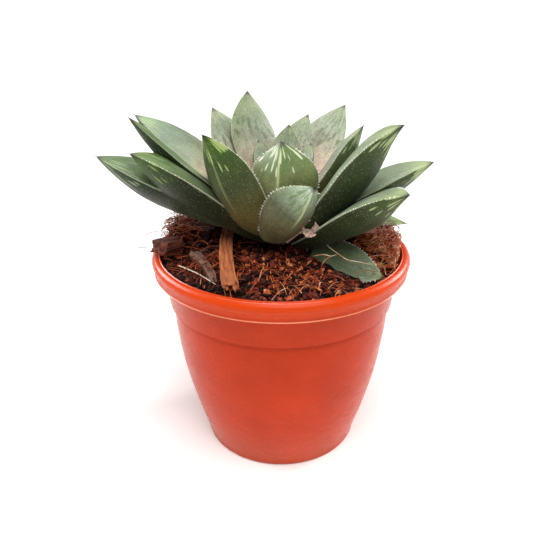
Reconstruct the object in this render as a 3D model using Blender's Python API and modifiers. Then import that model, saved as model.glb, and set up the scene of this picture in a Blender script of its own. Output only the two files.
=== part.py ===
"""Potted haworthia: a rosette of thick, pointed, boat-shaped leaves on a short rooted stem,
planted in a mound of coir and husk chips in a thin moulded plastic nursery pot.

Metres, +Z up. The origin is the centre of the pot's flat base, and -Y is the pot's front.
"""
import math
from collections import namedtuple

import bmesh
import bpy
from mathutils import Matrix, Vector, noise

MM = 0.001
GAP = 0.3 * MM                 # clearance kept between pieces that touch
CUTTER_SWELL = 0.42 * MM       # how far a neighbour's shape is swollen before it cuts
SEAM = 0.002 * MM              # merge distance for seams and poles
CUT_TOLERANCE = 0.02           # share of a body's volume by which two solvers may differ
SHARP_ANGLE = math.radians(35)

# Pot, a 100 mm nursery pot
POT_STEPS = 36
BASE_R = 30.0 * MM
RIM_TOP = 82.0 * MM
RIM_BEAD_R = 2.3 * MM          # the rolled rim's section
RIM_R = 50.0 * MM              # widest point of the rolled rim
MOUTH_R = 46.5 * MM            # inner edge of the rim
WALL = 1.6 * MM
FLOOR_TOP = 3.2 * MM
DRAIN_HOLES = 6
DRAIN_R = 2.3 * MM
DRAIN_CIRCLE_R = 19.0 * MM

# Growing medium
SOIL_CENTRE = 84.5 * MM        # height beside the stem
SOIL_FRONT = 77.5 * MM         # height at the front of the rim
SOIL_SIDE_RISE = 10.5 * MM     # how much higher it is heaped at the sides and back
SOIL_HEAP_R = 43.0 * MM        # radius of the heap's shoulder
SOIL_BACK_DROP = 3.0 * MM      # how far it falls off again at the very back
LUMP_HEIGHT = 1.0 * MM
LUMP_SPACING = 11.0 * MM
HEAP_RINGS = (0, 10, 19, 27, 34, 39, 43)    # radii of the heap's mesh rings, in mm
SHOULDER_R = 44.8 * MM         # ring where the heap drops to the pot's wall
SHOULDER_Z = 79.8 * MM         # its height at the front
SHOULDER_RISE = 0.3            # share of the heap's own rise that this ring follows

# Stem and roots
STEM_TOP = 107.0 * MM
STEM_FOOT = 69.0 * MM
STEM_PROFILE = [(1.4, 106), (2.5, 101), (3.5, 95), (3.5, 84), (3.5, 77), (2.0, 71)]  # mm
ROOTS = 5
ROOT_R = 1.5 * MM
ROOT_TAPER = 0.13              # share of its radius that a root loses at each step
ROOT_BEND = 0.35               # how far a root turns round the stem, in radians
ROOT_DROP = 4.0 * MM           # how much lower each root ends than the one before
# distance from the stem and height (mm), and share of the bend and drop, along a root
ROOT_STEPS = [(1.0, 76.0, 0.0), (9.0, 73.0, 0.3), (19.0, 64.0, 0.8), (24.0, 49.0, 1.0),
              (25.0, 33.0, 1.3)]

# Leaves
LEAF_RINGS = 7
LEAF_SIDES = 8
LEAF_ROOT_R = 2.0 * MM         # where a leaf's centre line starts, inside the stem's surface
BASE_WIDTH = 0.55              # width at the root, as a share of the widest
CROWN = 0.04                   # rise of the upper face, as a share of the width
POINT_CURVE = 1.9              # higher keeps the leaf wide for longer before its point
KEEL_WIDEST = 0.95             # the back is deepest a little nearer the root than it is wide
KEEL_CURVE = 0.9
ROOT_THINNING = 0.35           # share of its depth that the back loses at the root
KEEL_SHARPENING = 0.35         # how much sharper the keel gets towards the tip

LeafPlan = namedtuple(
    "LeafPlan", "name heading reach tip root width thickness start end roll swing widest foot")

# heading: degrees from +X. reach: tip's distance from the stem. tip, root: heights. (mm)
# start, end: how many degrees the centre line sags below its chord at the root and climbs
# above it at the tip. roll: twist about the centre line. swing: sideways sweep at the root.
# widest: place of the widest section, root 0 to tip 1. foot: shift of the root, x and y in mm.
# From the bud outwards: each leaf is hollowed where the ones above it press into it.
LEAVES = [
    LeafPlan("leaf_01", 250, 5, 119, 105, 7, 4, 5, 10, 0, 0, .55, (0, 0)),
    LeafPlan("leaf_02", 95, 6, 121, 105, 8, 4, 5, 10, 0, 0, .55, (0, 0)),
    LeafPlan("leaf_03", 36, 14, 121, 104, 10, 5, 8, 10, 0, 0, .55, (0, 0)),
    LeafPlan("leaf_04", 136, 12, 122, 104, 10, 5, 8, 10, 0, 0, .55, (0, 0)),
    LeafPlan("leaf_05", 77, 14, 127, 103, 13, 6, 8, 7, 0, 5, .56, (0, 0)),
    LeafPlan("leaf_06", 65, 26, 129, 102, 14, 7, 6, 0, 10, 12, .56, (0, 0)),
    LeafPlan("leaf_07", 118, 28, 138, 100, 21, 8, 12, 12, 13, 7, .60, (0, 0)),
    LeafPlan("leaf_08", 47, 38, 132, 100, 22, 8, 3, 0, 5, 8, .54, (0, 0)),
    LeafPlan("leaf_09", 141, 35, 132, 100, 22, 8, 6, 3, 0, -3, .56, (0, 0)),
    LeafPlan("leaf_10", 270, 14, 127, 97, 24, 12, 6, 8, -14, 12, .60, (0, 0)),
    LeafPlan("leaf_11", 355, 30, 130, 96, 16, 8, 16, -15, -2, 0, .58, (0, 0)),
    LeafPlan("leaf_12", 100, 34, 115, 97, 16, 8, 6, 0, 0, 0, .58, (0, 0)),
    LeafPlan("leaf_13", 62, 36, 115, 96, 17, 8, 6, 0, 0, 0, .58, (0, 0)),
    LeafPlan("leaf_14", 151, 37, 113, 96, 18, 8, 6, -4, 0, 0, .58, (0, 0)),
    LeafPlan("leaf_15", 173, 55, 132, 97, 23, 10, 8, -12, -6, 0, .60, (0, 0)),
    LeafPlan("leaf_16", 32, 42, 112, 94, 18, 8, 6, -6, 0, 0, .58, (0, 0)),
    LeafPlan("leaf_17", 182, 55, 133, 92, 20, 7, 6, 0, 4, -2, .56, (0, 0)),
    LeafPlan("leaf_18", 352, 56, 118, 91, 22, 9, 5, -16, 2, 5, .62, (0, 0)),
    LeafPlan("leaf_19", 332, 46.5, 134, 89, 25, 11, 13, -32, 10, -6, .58, (0, 0)),
    LeafPlan("leaf_20", 219, 34, 131, 90.5, 22, 10, 28, -15, 13, 0, .59, (0, 0)),
    LeafPlan("leaf_21", 108, 52, 107, 90, 22, 9, 5, -8, 0, 0, .60, (0, 0)),
    LeafPlan("leaf_22", 60, 53, 107, 90, 22, 9, 5, -8, 0, 0, .60, (0, 0)),
    LeafPlan("leaf_23", 183, 68, 119, 90, 25, 11, -3, -9, -4, -3, .64, (0, 0)),
    LeafPlan("leaf_24", 132, 54, 106, 89, 22, 9, 5, -8, 0, 0, .60, (0, 0)),
    LeafPlan("leaf_25", 34, 52, 100, 88, 21, 9, 4, -8, 0, 0, .60, (0, 0)),
    LeafPlan("leaf_26", 84, 54, 103, 88, 22, 9, 5, -8, 0, 0, .60, (0, 0)),
    LeafPlan("leaf_27", 157, 52, 106, 88, 22, 9, 4, -8, 0, 0, .60, (0, 0)),
    LeafPlan("leaf_28", 197, 55, 123, 87, 21, 10, 3, -25, -3, 0, .70, (0, 0)),
    LeafPlan("leaf_29", 323, 46.5, 113, 87, 23, 10, -1, -29, 2, 6, .62, (5.5, -3.5)),
    LeafPlan("leaf_30", 319, 21, 113.5, 90.5, 20, 9, -15, -27, -32, -3, .64, (-4, -10.4)),
    LeafPlan("leaf_31", 13, 53, 87, 88, 14, 5, -6, -20, 12, 8, .57, (0, 0)),
    LeafPlan("fallen_leaf", 329, 30.5, 80.6, 85.9, 15, 5, 0, 6, 34, 0, .50, (10.6, -10.6)),
]

# name, centre, length along X, width, height (mm), turn about Z, tilt about Y (degrees)
CHIPS = [
    ("husk_splinter_front", (-18.8, -15.5, 84.9), 40, 4.8, 3.2, 95, -9),
    ("husk_splinter_left", (-28, -20, 82.0), 19, 3.4, 2.6, -64, 9),
    ("husk_chunk_left", (-42.2, -8.5, 85.8), 9.6, 8.2, 5.4, 50, 8),
    ("husk_chunk_back_left", (-33.5, 7, 85.5), 14, 11, 7, -20, 6),
    ("husk_chunk_right", (35, 1, 86), 11, 7, 5, 55, 8),
]
CHIP_BEVEL = 0.9 * MM
CHIP_THICK = 5.0               # mm; thinner chips get a smaller bevel
CHIP_FULLNESS = 0.8            # share of its stated width and height that a chip fills
CHIP_TAPER = 0.3               # how much narrower its far end is
CHIP_TWIST = 0.4               # how far its top leans from end to end
STUB_PATH = [(6.0, -13.8, 93.4), (9.0, -16.2, 96.0), (10.4, -19.4, 97.1)]    # mm
STUB_RADII = [1.1, 1.4, 1.8]   # mm


# ---------------------------------------------------------------- scene, materials, helpers

def clear_scene():
    for obj in list(bpy.data.objects):
        bpy.data.objects.remove(obj, do_unlink=True)


def collection(name):
    group = bpy.data.collections.new(name)
    bpy.context.scene.collection.children.link(group)
    return group


def material(name, colour, roughness):
    mat = bpy.data.materials.new(name)
    mat.use_nodes = True
    shader = mat.node_tree.nodes["Principled BSDF"]
    shader.inputs["Base Color"].default_value = (*colour, 1.0)
    shader.inputs["Roughness"].default_value = roughness
    mat.diffuse_color = (*colour, 1.0)
    return mat


def add_object(name, mesh, group, mat=None):
    obj = bpy.data.objects.new(name, mesh)
    group.objects.link(obj)
    if mat:
        mesh.materials.append(mat)
    if group is CUTTERS:
        obj.hide_render = True
        obj.display_type = 'WIRE'
    return obj


def mesh_from(name, bm):
    mesh = bpy.data.meshes.new(name)
    bm.to_mesh(mesh)
    bm.free()
    return mesh


def baked_mesh(obj):
    """The object's mesh with its modifiers applied, in world space."""
    bpy.context.view_layer.update()
    graph = bpy.context.evaluated_depsgraph_get()
    mesh = bpy.data.meshes.new_from_object(obj.evaluated_get(graph), depsgraph=graph)
    mesh.transform(obj.matrix_world)
    return mesh


def boolean(obj, other, operation, solver='EXACT'):
    modifier = obj.modifiers.new(other.name, 'BOOLEAN')
    modifier.operation = operation
    modifier.solver = solver
    modifier.object = other


def volume(mesh):
    bm = bmesh.new()
    bm.from_mesh(mesh)
    size = bm.calc_volume()
    bm.free()
    return size


def cut_away(obj, cutter):
    """Subtract one cutter. Where the exact solver loses part of the body, the other one cuts."""
    cuts = []
    for solver in ('EXACT', 'MANIFOLD'):
        boolean(obj, cutter, 'DIFFERENCE', solver)
        mesh = baked_mesh(obj)
        obj.modifiers.clear()
        cuts.append((volume(mesh), mesh))
    exact, other = cuts
    lost = exact[0] < other[0] * (1 - CUT_TOLERANCE)
    obj.data = other[1] if lost else exact[1]


def boxes_meet(obj, other):
    """Whether the bounding boxes of two untransformed objects overlap."""
    for axis in range(3):
        mine = [corner[axis] for corner in obj.bound_box]
        theirs = [corner[axis] for corner in other.bound_box]
        if max(mine) < min(theirs) or max(theirs) < min(mine):
            return False
    return True


def keep_largest_body(mesh):
    """Drop the crumbs that a cut leaves beside the main body."""
    bm = bmesh.new()
    bm.from_mesh(mesh)
    unseen = set(bm.verts)
    bodies = []
    while unseen:
        body = {unseen.pop()}
        edge_of_search = list(body)
        while edge_of_search:
            vert = edge_of_search.pop()
            for edge in vert.link_edges:
                other = edge.other_vert(vert)
                if other not in body:
                    body.add(other)
                    edge_of_search.append(other)
        unseen -= body
        bodies.append(body)
    bodies.sort(key=len)
    crumbs = [vert for body in bodies[:-1] for vert in body]
    bmesh.ops.delete(bm, geom=crumbs, context='VERTS')
    bmesh.ops.triangulate(bm, faces=bm.faces)
    bmesh.ops.dissolve_degenerate(bm, edges=bm.edges, dist=SEAM)
    bm.to_mesh(mesh)
    bm.free()


def hollow_out(obj, cutters):
    """Cut away what the swollen neighbours take up, and keep the main body."""
    for cutter in cutters:
        if boxes_meet(obj, cutter):
            cut_away(obj, cutter)
    keep_largest_body(obj.data)


def swollen_copy(obj):
    """A copy of an object, grown evenly along its normals, to cut its neighbours with."""
    bm = bmesh.new()
    bm.from_mesh(obj.data)
    bm.normal_update()
    moves = [(vert, vert.normal * CUTTER_SWELL) for vert in bm.verts]
    for vert, move in moves:
        vert.co += move
    return add_object("cut_" + obj.name, mesh_from("cut_" + obj.name, bm), CUTTERS)


# ---------------------------------------------------------------- pot

def arc(centre, radius, start, end, steps):
    """Points on an arc in the profile plane, angles in degrees from +X."""
    points = []
    for step in range(steps + 1):
        angle = math.radians(start + (end - start) * step / steps)
        points.append((centre[0] + radius * math.cos(angle), centre[1] + radius * math.sin(angle)))
    return points


# Outer wall below the collar's step, as (radius, height): a convex taper to the foot.
BODY_WALL = [(43.0 * MM, 62.0 * MM), (42.1 * MM, 50.0 * MM), (39.9 * MM, 34.5 * MM),
             (36.2 * MM, 18.5 * MM), (33.0 * MM, 7.5 * MM), (31.4 * MM, 2.2 * MM)]
COLLAR_TOP = (45.4 * MM, 73.6 * MM)
COLLAR_FOOT = (44.1 * MM, 62.4 * MM)
FLASH_LINE = (49.1 * MM, 75.0 * MM)
RIM_UNDERSIDE = (46.3 * MM, 74.6 * MM)      # where the rim's underside meets the wall
FOOT = (30.8 * MM, 0.6 * MM)                # rounded edge of the base
FLOOR_EDGE_R = 29.2 * MM                    # where the floor meets the inner wall
MOUTH_EDGE = 79.5 * MM                      # height where the inner wall turns upright
RIM_EDGE_DROP = 0.5 * MM                    # how far the mouth's edge lies under the rim's top
DRAIN_SIDES = 8


def outer_profile():
    """The outside of the pot, from the mouth over the rolled rim down to the base's centre."""
    rim = arc((RIM_R - RIM_BEAD_R, RIM_TOP - RIM_BEAD_R), RIM_BEAD_R, 90, -50, 5)
    wall = [FLASH_LINE, RIM_UNDERSIDE, COLLAR_TOP, COLLAR_FOOT]
    foot = [FOOT, (BASE_R, 0.0), (0.0, 0.0)]
    return [(MOUTH_R, RIM_TOP - RIM_EDGE_DROP)] + rim + wall + BODY_WALL + foot


def inner_radius(height):
    """Radius of the pot's inner wall at a height."""
    wall = [(FLOOR_EDGE_R, FLOOR_TOP)]
    wall += [(radius - WALL, z) for radius, z in reversed(BODY_WALL[:-1])]
    wall += [(COLLAR_TOP[0] - WALL, COLLAR_TOP[1]), (MOUTH_R, MOUTH_EDGE), (MOUTH_R, RIM_TOP)]
    for (r_low, z_low), (r_high, z_high) in zip(wall, wall[1:]):
        if height <= z_high:
            return r_low + (r_high - r_low) * (height - z_low) / (z_high - z_low)
    return MOUTH_R


INNER_HEIGHTS = ([FLOOR_TOP] + [z for _, z in reversed(BODY_WALL[:-1])]
                 + [COLLAR_TOP[1], MOUTH_EDGE])


def turned(name, profile, group, mat=None):
    """A solid of revolution from a profile that runs down its outer side."""
    mesh = bpy.data.meshes.new(name)
    points = [(radius, 0.0, height) for radius, height in profile]
    mesh.from_pydata(points, [(i, i + 1) for i in range(len(points) - 1)], [])
    obj = add_object(name, mesh, group, mat)
    screw = obj.modifiers.new("turn", 'SCREW')
    screw.axis = 'Z'
    screw.steps = POT_STEPS
    screw.render_steps = POT_STEPS
    screw.use_merge_vertices = True
    screw.merge_threshold = SEAM
    obj.data = baked_mesh(obj)
    obj.modifiers.clear()
    return obj


def make_pot(mat):
    inner = [(0.0, FLOOR_TOP)] + [(inner_radius(z), z) for z in INNER_HEIGHTS]
    pot = turned("pot", inner + outer_profile(), PARTS, mat)
    for index in range(DRAIN_HOLES):
        angle = math.tau * index / DRAIN_HOLES
        bm = bmesh.new()
        place = Matrix.Translation((DRAIN_CIRCLE_R * math.cos(angle),
                                    DRAIN_CIRCLE_R * math.sin(angle), FLOOR_TOP / 2))
        bmesh.ops.create_cone(bm, cap_ends=True, segments=DRAIN_SIDES, radius1=DRAIN_R,
                              radius2=DRAIN_R, depth=FLOOR_TOP * 2, matrix=place)
        cut_away(pot, add_object("drain", mesh_from("drain", bm), CUTTERS))
    return pot


# ---------------------------------------------------------------- growing medium

def smoothstep(low, high, value):
    share = min(max((value - low) / (high - low), 0.0), 1.0)
    return share * share * (3 - 2 * share)


def soil_height(x, y):
    """Top of the heap: low at the front, heaped above the rim at the sides and back."""
    radius = max(math.hypot(x, y), MM)
    backwards = smoothstep(-0.6, 0.15, y / radius)
    at_rim = (SOIL_FRONT + SOIL_SIDE_RISE * backwards
              - SOIL_BACK_DROP * max(0.0, y / radius) ** 4)
    share = min(radius / SOIL_HEAP_R, 1.0) ** 2
    lumps = LUMP_HEIGHT * noise.noise(Vector((x, y, 0.0)) / LUMP_SPACING)
    return SOIL_CENTRE + (at_rim - SOIL_CENTRE) * share + lumps


def make_growing_medium(mat):
    heap = [(radius * MM, RIM_TOP) for radius in HEAP_RINGS]
    wall = [(inner_radius(z) - GAP, z) for z in reversed(INNER_HEIGHTS[1:])]
    bottom = [(inner_radius(FLOOR_TOP) - GAP, FLOOR_TOP + GAP), (0.0, FLOOR_TOP + GAP)]
    profile = heap + [(SHOULDER_R, SHOULDER_Z)] + wall + bottom
    medium = turned("growing_medium", profile, PARTS, mat)
    for vert in medium.data.vertices:
        x, y, z = vert.co
        if z > RIM_TOP - SEAM:
            vert.co.z = soil_height(x, y)
        elif z > SHOULDER_Z - SEAM:
            vert.co.z = SHOULDER_Z + SHOULDER_RISE * (soil_height(x, y) - SOIL_FRONT)
    return medium


# ---------------------------------------------------------------- stem and roots

def tube(name, points, radii, group, mat=None):
    """A closed tube along a smooth curve through the points, as a mesh object."""
    curve = bpy.data.curves.new(name, 'CURVE')
    curve.dimensions = '3D'
    curve.bevel_depth = 1.0
    curve.bevel_resolution = 1
    curve.resolution_u = 2
    curve.use_fill_caps = True
    spline = curve.splines.new('NURBS')
    spline.points.add(len(points) - 1)
    spline.order_u = 3
    spline.use_endpoint_u = True
    for point, place, radius in zip(spline.points, points, radii):
        point.co = (*place, 1.0)
        point.radius = radius
    source = add_object(name, curve, group)
    mesh = baked_mesh(source)
    bpy.data.objects.remove(source)
    bm = bmesh.new()
    bm.from_mesh(mesh)
    bmesh.ops.remove_doubles(bm, verts=bm.verts, dist=SEAM)
    bmesh.ops.recalc_face_normals(bm, faces=bm.faces)
    bm.to_mesh(mesh)
    bm.free()
    return add_object(name, mesh, group, mat)


def root_path(index):
    """A thick root that leaves the stem's foot sideways and turns down into the medium."""
    angle = math.tau * (index + 0.3) / ROOTS
    bend = ROOT_BEND * (-1) ** index
    drop = ROOT_DROP * (index % 3)
    return [Vector((radius * MM * math.cos(angle + bend * turn),
                    radius * MM * math.sin(angle + bend * turn),
                    height * MM - drop * turn)) for radius, height, turn in ROOT_STEPS]


def make_stem(name, grow, group, mat=None):
    """The short stem that carries the leaves, with its thick roots, swollen by grow."""
    side = [(radius * MM + grow, height * MM) for radius, height in STEM_PROFILE]
    profile = [(0.0, STEM_TOP + grow)] + side + [(0.0, STEM_FOOT - grow)]
    stem = turned(name, profile, group, mat)
    for index in range(ROOTS):
        path = root_path(index)
        path[-1] += (path[-1] - path[-2]).normalized() * grow
        radii = [ROOT_R * (1 - ROOT_TAPER * step) + grow for step in range(len(path))]
        root = tube("root", path, radii, CUTTERS)
        boolean(stem, root, 'UNION')
    stem.data = baked_mesh(stem)
    stem.modifiers.clear()
    return stem


# ---------------------------------------------------------------- leaves

def outline(along, widest):
    """Half-width along the leaf, 1 at its widest: a tapering root and a long point."""
    if along < widest:
        return 1 - (1 - BASE_WIDTH) * (1 - along / widest) ** 2
    return 1 - ((along - widest) / (1 - widest)) ** POINT_CURVE


def centre_line(plan, along):
    """Point, sideways and upward directions on the leaf's centre line."""
    heading = math.radians(plan.heading)
    outward = Vector((math.cos(heading), math.sin(heading), 0.0))
    side = Vector((-math.sin(heading), math.cos(heading), 0.0))
    foot = Vector((*plan.foot, 0.0)) * MM
    root = foot + outward * LEAF_ROOT_R + Vector((0.0, 0.0, plan.root * MM))
    tip = foot + outward * plan.reach * MM + Vector((0.0, 0.0, plan.tip * MM))
    chord = (tip - root).normalized()
    lift = chord.cross(side)
    third = (tip - root).length / 3

    def handle(degrees, sweep):
        turn = math.radians(degrees)
        sideways = side * math.tan(math.radians(sweep))
        return (chord * math.cos(turn) + lift * math.sin(turn) + sideways) * third

    first = root + handle(-plan.start, plan.swing)
    last = tip - handle(plan.end, -plan.swing)
    back = 1 - along
    place = (back ** 3 * root + 3 * back ** 2 * along * first
             + 3 * back * along ** 2 * last + along ** 3 * tip)
    ahead = (back ** 2 * (first - root) + 2 * back * along * (last - first)
             + along ** 2 * (tip - last)).normalized()
    across = (side - ahead * side.dot(ahead)).normalized()
    upward = ahead.cross(across)
    twist = math.radians(plan.roll)
    return (place, across * math.cos(twist) + upward * math.sin(twist),
            upward * math.cos(twist) - across * math.sin(twist))


def leaf_point(plan, along, around):
    """A point on the leaf's skin; around 0 and half a turn are its two sharp margins."""
    place, across, upward = centre_line(plan, along)
    width = plan.width * MM * outline(along, plan.widest)
    rise = math.sin(around)
    if rise >= 0:
        height = CROWN * width * rise
    else:
        keel = outline(along, plan.widest * KEEL_WIDEST) ** KEEL_CURVE
        keel *= 1 - ROOT_THINNING * (1 - along) ** 4
        height = -plan.thickness * MM * keel * abs(rise) ** (1 + KEEL_SHARPENING * along)
    return place + across * (width / 2 * math.cos(around)) + upward * height


def make_leaf(plan, mat):
    bm = bmesh.new()
    bmesh.ops.create_grid(bm, x_segments=LEAF_SIDES, y_segments=LEAF_RINGS, size=0.5)
    for vert in bm.verts:
        vert.co = leaf_point(plan, vert.co.y + 0.5, math.tau * (vert.co.x + 0.5))
    bmesh.ops.remove_doubles(bm, verts=bm.verts, dist=SEAM)
    bmesh.ops.holes_fill(bm, edges=bm.edges, sides=LEAF_SIDES)
    bmesh.ops.triangulate(bm, faces=bm.faces)
    bmesh.ops.recalc_face_normals(bm, faces=bm.faces)
    return add_object(plan.name, mesh_from(plan.name, bm), PARTS, mat)


def make_leaves(mat, stem_cutter):
    """All the leaves, from the bud outwards, and the swollen copy of each."""
    cutters = [stem_cutter]
    for plan in LEAVES:
        leaf = make_leaf(plan, mat)
        cutter = swollen_copy(leaf)
        hollow_out(leaf, cutters)
        cutters.append(cutter)
    return cutters


# ---------------------------------------------------------------- husk chips and stub

def make_chip(name, centre, length, width, height, turn, tilt, mat):
    """A split piece of husk: a block with tapered, chamfered ends."""
    place = (Matrix.Translation(Vector(centre) * MM)
             @ Matrix.Rotation(math.radians(turn), 4, 'Z')
             @ Matrix.Rotation(math.radians(tilt), 4, 'Y')
             @ Matrix.Diagonal((length * MM, width * MM, height * MM, 1.0)))
    bm = bmesh.new()
    bmesh.ops.create_cube(bm, size=1.0)
    for vert in bm.verts:
        vert.co.y *= CHIP_FULLNESS - CHIP_TAPER * vert.co.x
        vert.co.z *= CHIP_FULLNESS + CHIP_TWIST * vert.co.x * vert.co.y
    bmesh.ops.transform(bm, matrix=place, verts=bm.verts)
    bmesh.ops.bevel(bm, geom=bm.edges, offset=CHIP_BEVEL * min(1, height / CHIP_THICK),
                    segments=1, profile=0.5, affect='EDGES', material=-1)
    bmesh.ops.recalc_face_normals(bm, faces=bm.faces)
    return add_object(name, mesh_from(name, bm), PARTS, mat)


def make_stub(mat):
    """The dry stub of a cut leaf or flower stalk at the foot of the rosette."""
    return tube("dried_stub", [Vector(point) * MM for point in STUB_PATH],
                [radius * MM for radius in STUB_RADII], PARTS, mat)


def smooth_round_parts():
    for obj in PARTS.objects:
        obj.data.shade_smooth()
        obj.data.set_sharp_from_angle(angle=SHARP_ANGLE)


def main():
    terracotta = material("pot_plastic", (0.62, 0.07, 0.02), 0.42)
    coir = material("coir_mix", (0.10, 0.025, 0.012), 0.95)
    husk = material("husk", (0.22, 0.06, 0.025), 0.9)
    root_skin = material("root_skin", (0.45, 0.33, 0.20), 0.8)
    leaf_skin = material("leaf_skin", (0.10, 0.17, 0.07), 0.5)
    dry = material("dried_leaf", (0.45, 0.27, 0.19), 0.8)

    make_pot(terracotta)
    make_stem("stem_with_roots", 0.0, PARTS, root_skin)
    stem_cutter = make_stem("cut_stem", GAP, CUTTERS)
    cutters = make_leaves(leaf_skin, stem_cutter)

    stub = make_stub(dry)
    hollow_out(stub, cutters)
    cutters.append(swollen_copy(stub))
    for chip in CHIPS:
        piece = make_chip(*chip, husk)
        cutter = swollen_copy(piece)
        hollow_out(piece, cutters)
        cutters.append(cutter)

    medium = make_growing_medium(coir)
    hollow_out(medium, cutters)
    smooth_round_parts()


clear_scene()
PARTS = collection("potted_haworthia")
CUTTERS = collection("cutters")
main()
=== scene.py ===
"""Looks of a potted haworthia: waxy toothed leaves, a loose coir mix and a moulded nursery pot.

Laid out as a Blender add-on, with one operator for each piece or group of like pieces. Each
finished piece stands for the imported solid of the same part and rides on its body.
Metres, +Z up. The pot stands on z = 0 and its front faces -Y.
"""
import math
import random
from collections import namedtuple
from functools import lru_cache, partial

import bmesh
import bpy
from bpy.props import FloatProperty, FloatVectorProperty, IntProperty, PointerProperty
from mathutils import Matrix, Vector, noise


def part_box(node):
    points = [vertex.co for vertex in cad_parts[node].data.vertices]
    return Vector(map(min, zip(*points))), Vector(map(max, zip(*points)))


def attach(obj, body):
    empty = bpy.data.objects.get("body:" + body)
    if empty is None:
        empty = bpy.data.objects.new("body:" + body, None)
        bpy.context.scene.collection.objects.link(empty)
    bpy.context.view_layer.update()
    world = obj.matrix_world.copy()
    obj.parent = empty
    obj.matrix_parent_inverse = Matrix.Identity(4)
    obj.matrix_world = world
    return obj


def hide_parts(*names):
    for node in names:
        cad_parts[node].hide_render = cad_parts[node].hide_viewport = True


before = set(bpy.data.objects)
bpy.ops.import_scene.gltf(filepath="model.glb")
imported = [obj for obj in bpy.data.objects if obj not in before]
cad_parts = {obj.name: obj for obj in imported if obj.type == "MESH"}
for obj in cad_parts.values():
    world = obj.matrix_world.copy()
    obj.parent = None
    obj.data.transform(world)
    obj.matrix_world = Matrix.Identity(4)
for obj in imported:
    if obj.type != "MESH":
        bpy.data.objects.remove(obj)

bl_info = {
    "name": "Potted Haworthia",
    "version": (1, 0, 0),
    "blender": (4, 5, 0),
    "location": "3D View > Sidebar > Haworthia",
    "description": "Builds the leaves, growing medium, pot and stage of a potted haworthia",
    "category": "Add Mesh",
}

MM = 0.001
BODY = "root"
SEAM = 0.002 * MM                  # merge distance for seams and poles

_, POT_TOP_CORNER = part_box("pot")
RIM_R = POT_TOP_CORNER.x           # widest point of the rolled rim
RIM_TOP = POT_TOP_CORNER.z
SHARP_ANGLE = math.radians(50)     # edges sharper than this stay sharp

NEAR_UP = Vector((0.13, 0.21, 1.0))    # a direction that no path follows

# Sockets of a colour Mix node, whose names repeat.
FACTOR, COLOUR_A, COLOUR_B, MIXED = 0, 6, 7, 2


# ---------------------------------------------------------------- small tools

def smoothstep(low, high, value):
    """0 below low, 1 above high and a smooth rise between them."""
    share = min(max((value - low) / (high - low), 0.0), 1.0)
    return share * share * (3 - 2 * share)


def mix(first, second, share):
    """The value that lies a share of the way from first to second."""
    return first + (second - first) * share


def linear(code):
    """The linear RGBA colour of an sRGB hex code."""
    shares = [int(code[place:place + 2], 16) / 255 for place in (1, 3, 5)]
    return (*[s / 12.92 if s <= 0.04045 else ((s + 0.055) / 1.055) ** 2.4 for s in shares], 1.0)


def add_node(tree, kind, inputs=None, stops=None, **settings):
    """Add a node; inputs maps a socket to its value or to the socket that feeds it."""
    node = tree.nodes.new(kind)
    for name, value in settings.items():
        setattr(node, name, value)
    for name, value in (inputs or {}).items():
        if isinstance(value, bpy.types.NodeSocket):
            tree.links.new(value, node.inputs[name])
        else:
            node.inputs[name].default_value = value
    for index, (place, code) in enumerate(stops or []):
        elements = node.color_ramp.elements
        element = elements[index] if index < 2 else elements.new(place)
        element.position = place
        element.color = linear(code)
    return node


def new_material(name, **sockets):
    """A material and its node adder, with the shader's plain values set on its own sockets."""
    mat = bpy.data.materials.new(name)
    mat.use_nodes = True
    shader = mat.node_tree.nodes["Principled BSDF"]
    for socket, value in sockets.items():
        shader.inputs[socket.replace("_", " ").title().replace("Ior", "IOR")].default_value = value
    return mat, shader, partial(add_node, mat.node_tree)


def remap(add, value, start, end, low, high):
    """The value carried from start..end to low..high, and held at both ends."""
    return add('ShaderNodeMapRange', {'Value': value, 'From Min': start, 'From Max': end,
                                      'To Min': low, 'To Max': high}).outputs['Result']


def combine(add, operation, first, second=0.0):
    """The result of arithmetic on one or two values."""
    return add('ShaderNodeMath', {0: first, 1: second}, operation=operation).outputs['Value']


def cloudy(add, place, size, detail, roughness=0.5):
    """Noise whose lumps are about size apart."""
    return add('ShaderNodeTexNoise', {'Vector': place, 'Scale': 1 / size, 'Detail': detail,
                                      'Roughness': roughness}).outputs['Fac']


def stretched(add, place, scale):
    """Places scaled along each axis, so that a pattern on them is drawn out one way."""
    return add('ShaderNodeMapping', {'Vector': place, 'Scale': scale}).outputs['Vector']


def ramp(add, value, stops):
    """The colour that stands at a value between the stops."""
    return add('ShaderNodeValToRGB', {'Fac': value}, stops=stops).outputs['Color']


def blend(add, share, under, over):
    """One colour laid over another by a share."""
    return add('ShaderNodeMix', {FACTOR: share, COLOUR_A: under, COLOUR_B: over},
               data_type='RGBA').outputs[MIXED]


def relief(add, height, strength, depth, **settings):
    """The surface's direction where a height raises it by up to a depth."""
    return add('ShaderNodeBump', {'Height': height, 'Strength': strength, 'Distance': depth},
               **settings).outputs['Normal']


def finished(mat, shader, colour, normal=None, roughness=None):
    """The material, with these outputs linked to its shader."""
    for socket, output in (("Base Color", colour), ("Normal", normal), ("Roughness", roughness)):
        if output is not None:
            mat.node_tree.links.new(output, shader.inputs[socket])
    return mat


def new_bmesh(*fields):
    """A bmesh with these number fields on its points."""
    bm = bmesh.new()
    for field in fields:
        bm.verts.layers.float.new(field)
    return bm


def blank_mesh(bm):
    """A template mesh, to be stamped many times."""
    mesh = bpy.data.meshes.new("blank")
    bm.to_mesh(mesh)
    bm.free()
    return mesh


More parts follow.
